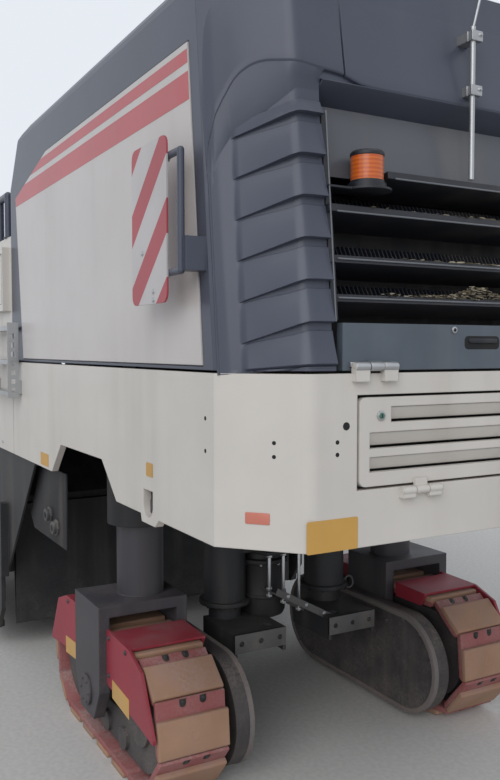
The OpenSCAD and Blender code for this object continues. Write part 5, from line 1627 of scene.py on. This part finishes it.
def buildLiftDetails(v):
    # glands and ports on the lift cylinders
    fall = math.radians(v["fall"])
    bm = bmesh.new()
    for sign in (1, -1):
        def along(d, drop=0.0):
            return at(
                v["s"] + d * math.cos(fall) - drop * math.sin(fall),
                sign * v["y"],
                v["z"] + d * math.sin(fall) + drop * math.cos(fall),
            )

        for low, high, r in v["rings"]:
            addRod(bm, along(low), along(high), r, 32)
        for d in v["ports"]:
            addRod(bm, along(d, -0.040), along(d, -0.062), 0.018, 6)
            addRod(bm, along(d, -0.060), along(d, -0.070), 0.012, 16)
    fromBmesh("barrelGlands", bm, ["hoodPaint"], "lift_barrels", "dark_paint", bevel=0.002)

    # caps of the turret's pins, and the ring of bolts round its bearing
    bm = bmesh.new()
    for sign in (1, -1):
        for s, z, y, r, reach in v["pins"]:
            addRod(bm, at(s, sign * y, z), at(s, sign * (y + reach), z), r * 1.35, 28, 1)

            def capPlace(a, b):
                return at(s + a, sign * (y + reach), z + b)

            addBoltRing(bm, 3, r * 0.75, capPlace, (0, sign, 0), (r * 0.16, 0.004), 0.5)
    s, r, z = v["bearing"]
    addBoltRing(bm, 16, r, lambda a, b: at(s + a, b, z), (0, 0, 1), (0.009, 0.008))
    finishNames = ["galvanised", "hoodPaint"]
    fromBmesh("turretPins", bm, finishNames, "conveyor_turret", "dark_paint", bevel=0.001, segments=1)


locker = {
    "y": 1.113, "edges": (2.738, 2.992, 2.087, 2.3645), "gap": 0.0025, "latch": (2.850, 2.140),
    "hinges": (2.775, 2.955), "skirtY": 1.068, "skirtBolts": (4.930, 0.300, 7, 1.735),
    "housingBolts": (2.960, 0.340, 6, 1.300), "plateY": 1.101, "shoeY": 1.106,
    "guides": (3.200, 4.700), "shoeBolts": (3.330, 0.155, 9, 0.150),
    "plateBolts": ((-0.018, 0.565), (0.018, 0.565), (-0.018, 0.615), (0.018, 0.615)),
}


def buildSideBolts(v):
    # lids and latches of the lockers, and screws along the front skirts and the drum housing
    bm = bmesh.new()
    left, right, low, high = v["edges"]
    gap = v["gap"]
    for sign in (1, -1):
        face = sign * v["y"]
        for lines in (
            (left, right, high - gap, high), (left, right, low, low + gap),
            (left, left + gap, low, high), (right - gap, right, low, high),
        ):
            addPrism(bm, flatBox(*lines), sidePlace, face - sign * 0.001, face + sign * 0.0006, 1)
        latch = roundedBox(0.070, 0.030, 0.008, v["latch"])
        addPrism(bm, latch, sidePlace, face - sign * 0.001, face + sign * 0.006, 0)
        out = face + sign * 0.003
        for s in v["hinges"]:
            addRod(bm, at(s - 0.025, out, high - 0.0005), at(s + 0.025, out, high - 0.0005), 0.006, 16, 0)
        for first, step, count, z in (v["skirtBolts"], v["housingBolts"]):
            for k in range(count):
                addBolt(bm, at(first + step * k, sign * v["skirtY"], z), (0, sign, 0), 0.007, 0.005, 0)
    finishNames = ["galvanised", "blackAndHoleShade"]
    fromBmesh("lockerLids", bm, finishNames, "machine", "cream_paint", bevel=0.0008, segments=1)

    # bolts of the edge plates, round their guides and along their shoes
    for side, sign in bothSides:
        bm = bmesh.new()
        for s in v["guides"]:
            for x, z in v["plateBolts"]:
                addBolt(bm, at(s + x, sign * v["plateY"], z), (0, sign, 0), 0.008, 0.004)
        first, step, count, z = v["shoeBolts"]
        for k in range(count):
            addBolt(bm, at(first + step * k, sign * v["shoeY"], z), (0, sign, 0), 0.008, 0.004)
        fromBmesh("edgePlateBolts_" + side, bm, ["couplingGrey"], "side_plate_" + side, "frame_paint")


buildLiftDetails(lift)
buildSideBolts(locker)
buildSeats(seat)
buildUnderBody(under)
buildGuardRims(guard)
buildPicks(drum)
buildBelt(boom)
buildPlatform(platform)
print("seats, under-body, drum, belt, platform and front details made")


photoView = {
    "station": -1.926, "y": 2.1475, "z": 1.8393, "yaw": -29.238, "pitch": -2.845,
    "lens": 37.95, "sensor": 36.0,
}


def placeCamera(view):
    camera = bpy.data.objects.new("Camera", bpy.data.cameras.new("Camera"))
    bpy.context.scene.collection.objects.link(camera)
    yaw, pitch = math.radians(view["yaw"]), math.radians(view["pitch"])
    look = Vector((math.cos(yaw) * math.cos(pitch), math.sin(yaw) * math.cos(pitch), math.sin(pitch)))
    camera.location = at(view["station"], view["y"], view["z"])
    camera.rotation_euler = look.to_track_quat("-Z", "Y").to_euler()
    camera.data.sensor_fit = "VERTICAL"
    camera.data.sensor_height = view["sensor"]
    camera.data.lens = view["lens"]
    camera.data.clip_end = 200.0
    bpy.context.scene.camera = camera


studio = {
    "floor": (0.66, 0.64, 0.61), "sky": (0.80, 0.84, 0.90), "fill": (0.86, 0.92, 1.0), "fillPower": 0.60,
    "key": (-9.0, 9.0, 8.0), "keyAngle": 50.0, "keyPower": 1.25,
}


def buildStudio(values):
    bpy.ops.mesh.primitive_plane_add(size=120.0, location=(0, 0, 0))
    floor = bpy.context.object
    floor.name = "studioFloor"
    material, tree, shader = blankMaterial("studioFloor")
    grit = rampNode(tree, noiseNode(tree, 40.0, 8.0), 0.3, 0.7)
    pale = values["floor"]
    base = mixNode(tree, "RGBA", grit, tuple(c * 0.9 for c in pale), pale)
    tree.links.new(base, shader.inputs["Base Color"])
    shader.inputs["Roughness"].default_value = 0.95
    floor.data.materials.append(material)
    world = bpy.data.worlds.new("studio")
    bpy.context.scene.world = world
    world.use_nodes = True
    tree = world.node_tree
    lit = tree.nodes["Background"]
    lit.inputs["Color"].default_value = (*values["fill"], 1.0)
    lit.inputs["Strength"].default_value = values["fillPower"]
    seen = tree.nodes.new("ShaderNodeBackground")
    seen.inputs["Color"].default_value = (*values["sky"], 1.0)
    paths = tree.nodes.new("ShaderNodeLightPath")
    mix = tree.nodes.new("ShaderNodeMixShader")
    shown = mathNode(tree, "MAXIMUM", paths.outputs["Is Camera Ray"], paths.outputs["Is Glossy Ray"])
    shown = mathNode(tree, "MAXIMUM", shown, paths.outputs["Is Transmission Ray"])
    tree.links.new(shown, mix.inputs[0])
    tree.links.new(lit.outputs[0], mix.inputs[1])
    tree.links.new(seen.outputs[0], mix.inputs[2])
    tree.links.new(mix.outputs[0], tree.nodes["World Output"].inputs["Surface"])
    lamp = bpy.data.objects.new("keyLamp", bpy.data.lights.new("keyLamp", "SUN"))
    bpy.context.scene.collection.objects.link(lamp)
    lamp.data.angle = math.radians(values["keyAngle"])
    lamp.data.energy = values["keyPower"]
    lamp.location = Vector(values["key"])
    lamp.rotation_euler = (-lamp.location).to_track_quat("-Z", "Y").to_euler()


placeCamera(photoView)
buildStudio(studio)
bpy.context.scene.view_settings.view_transform = "Standard"
print("camera and studio placed")
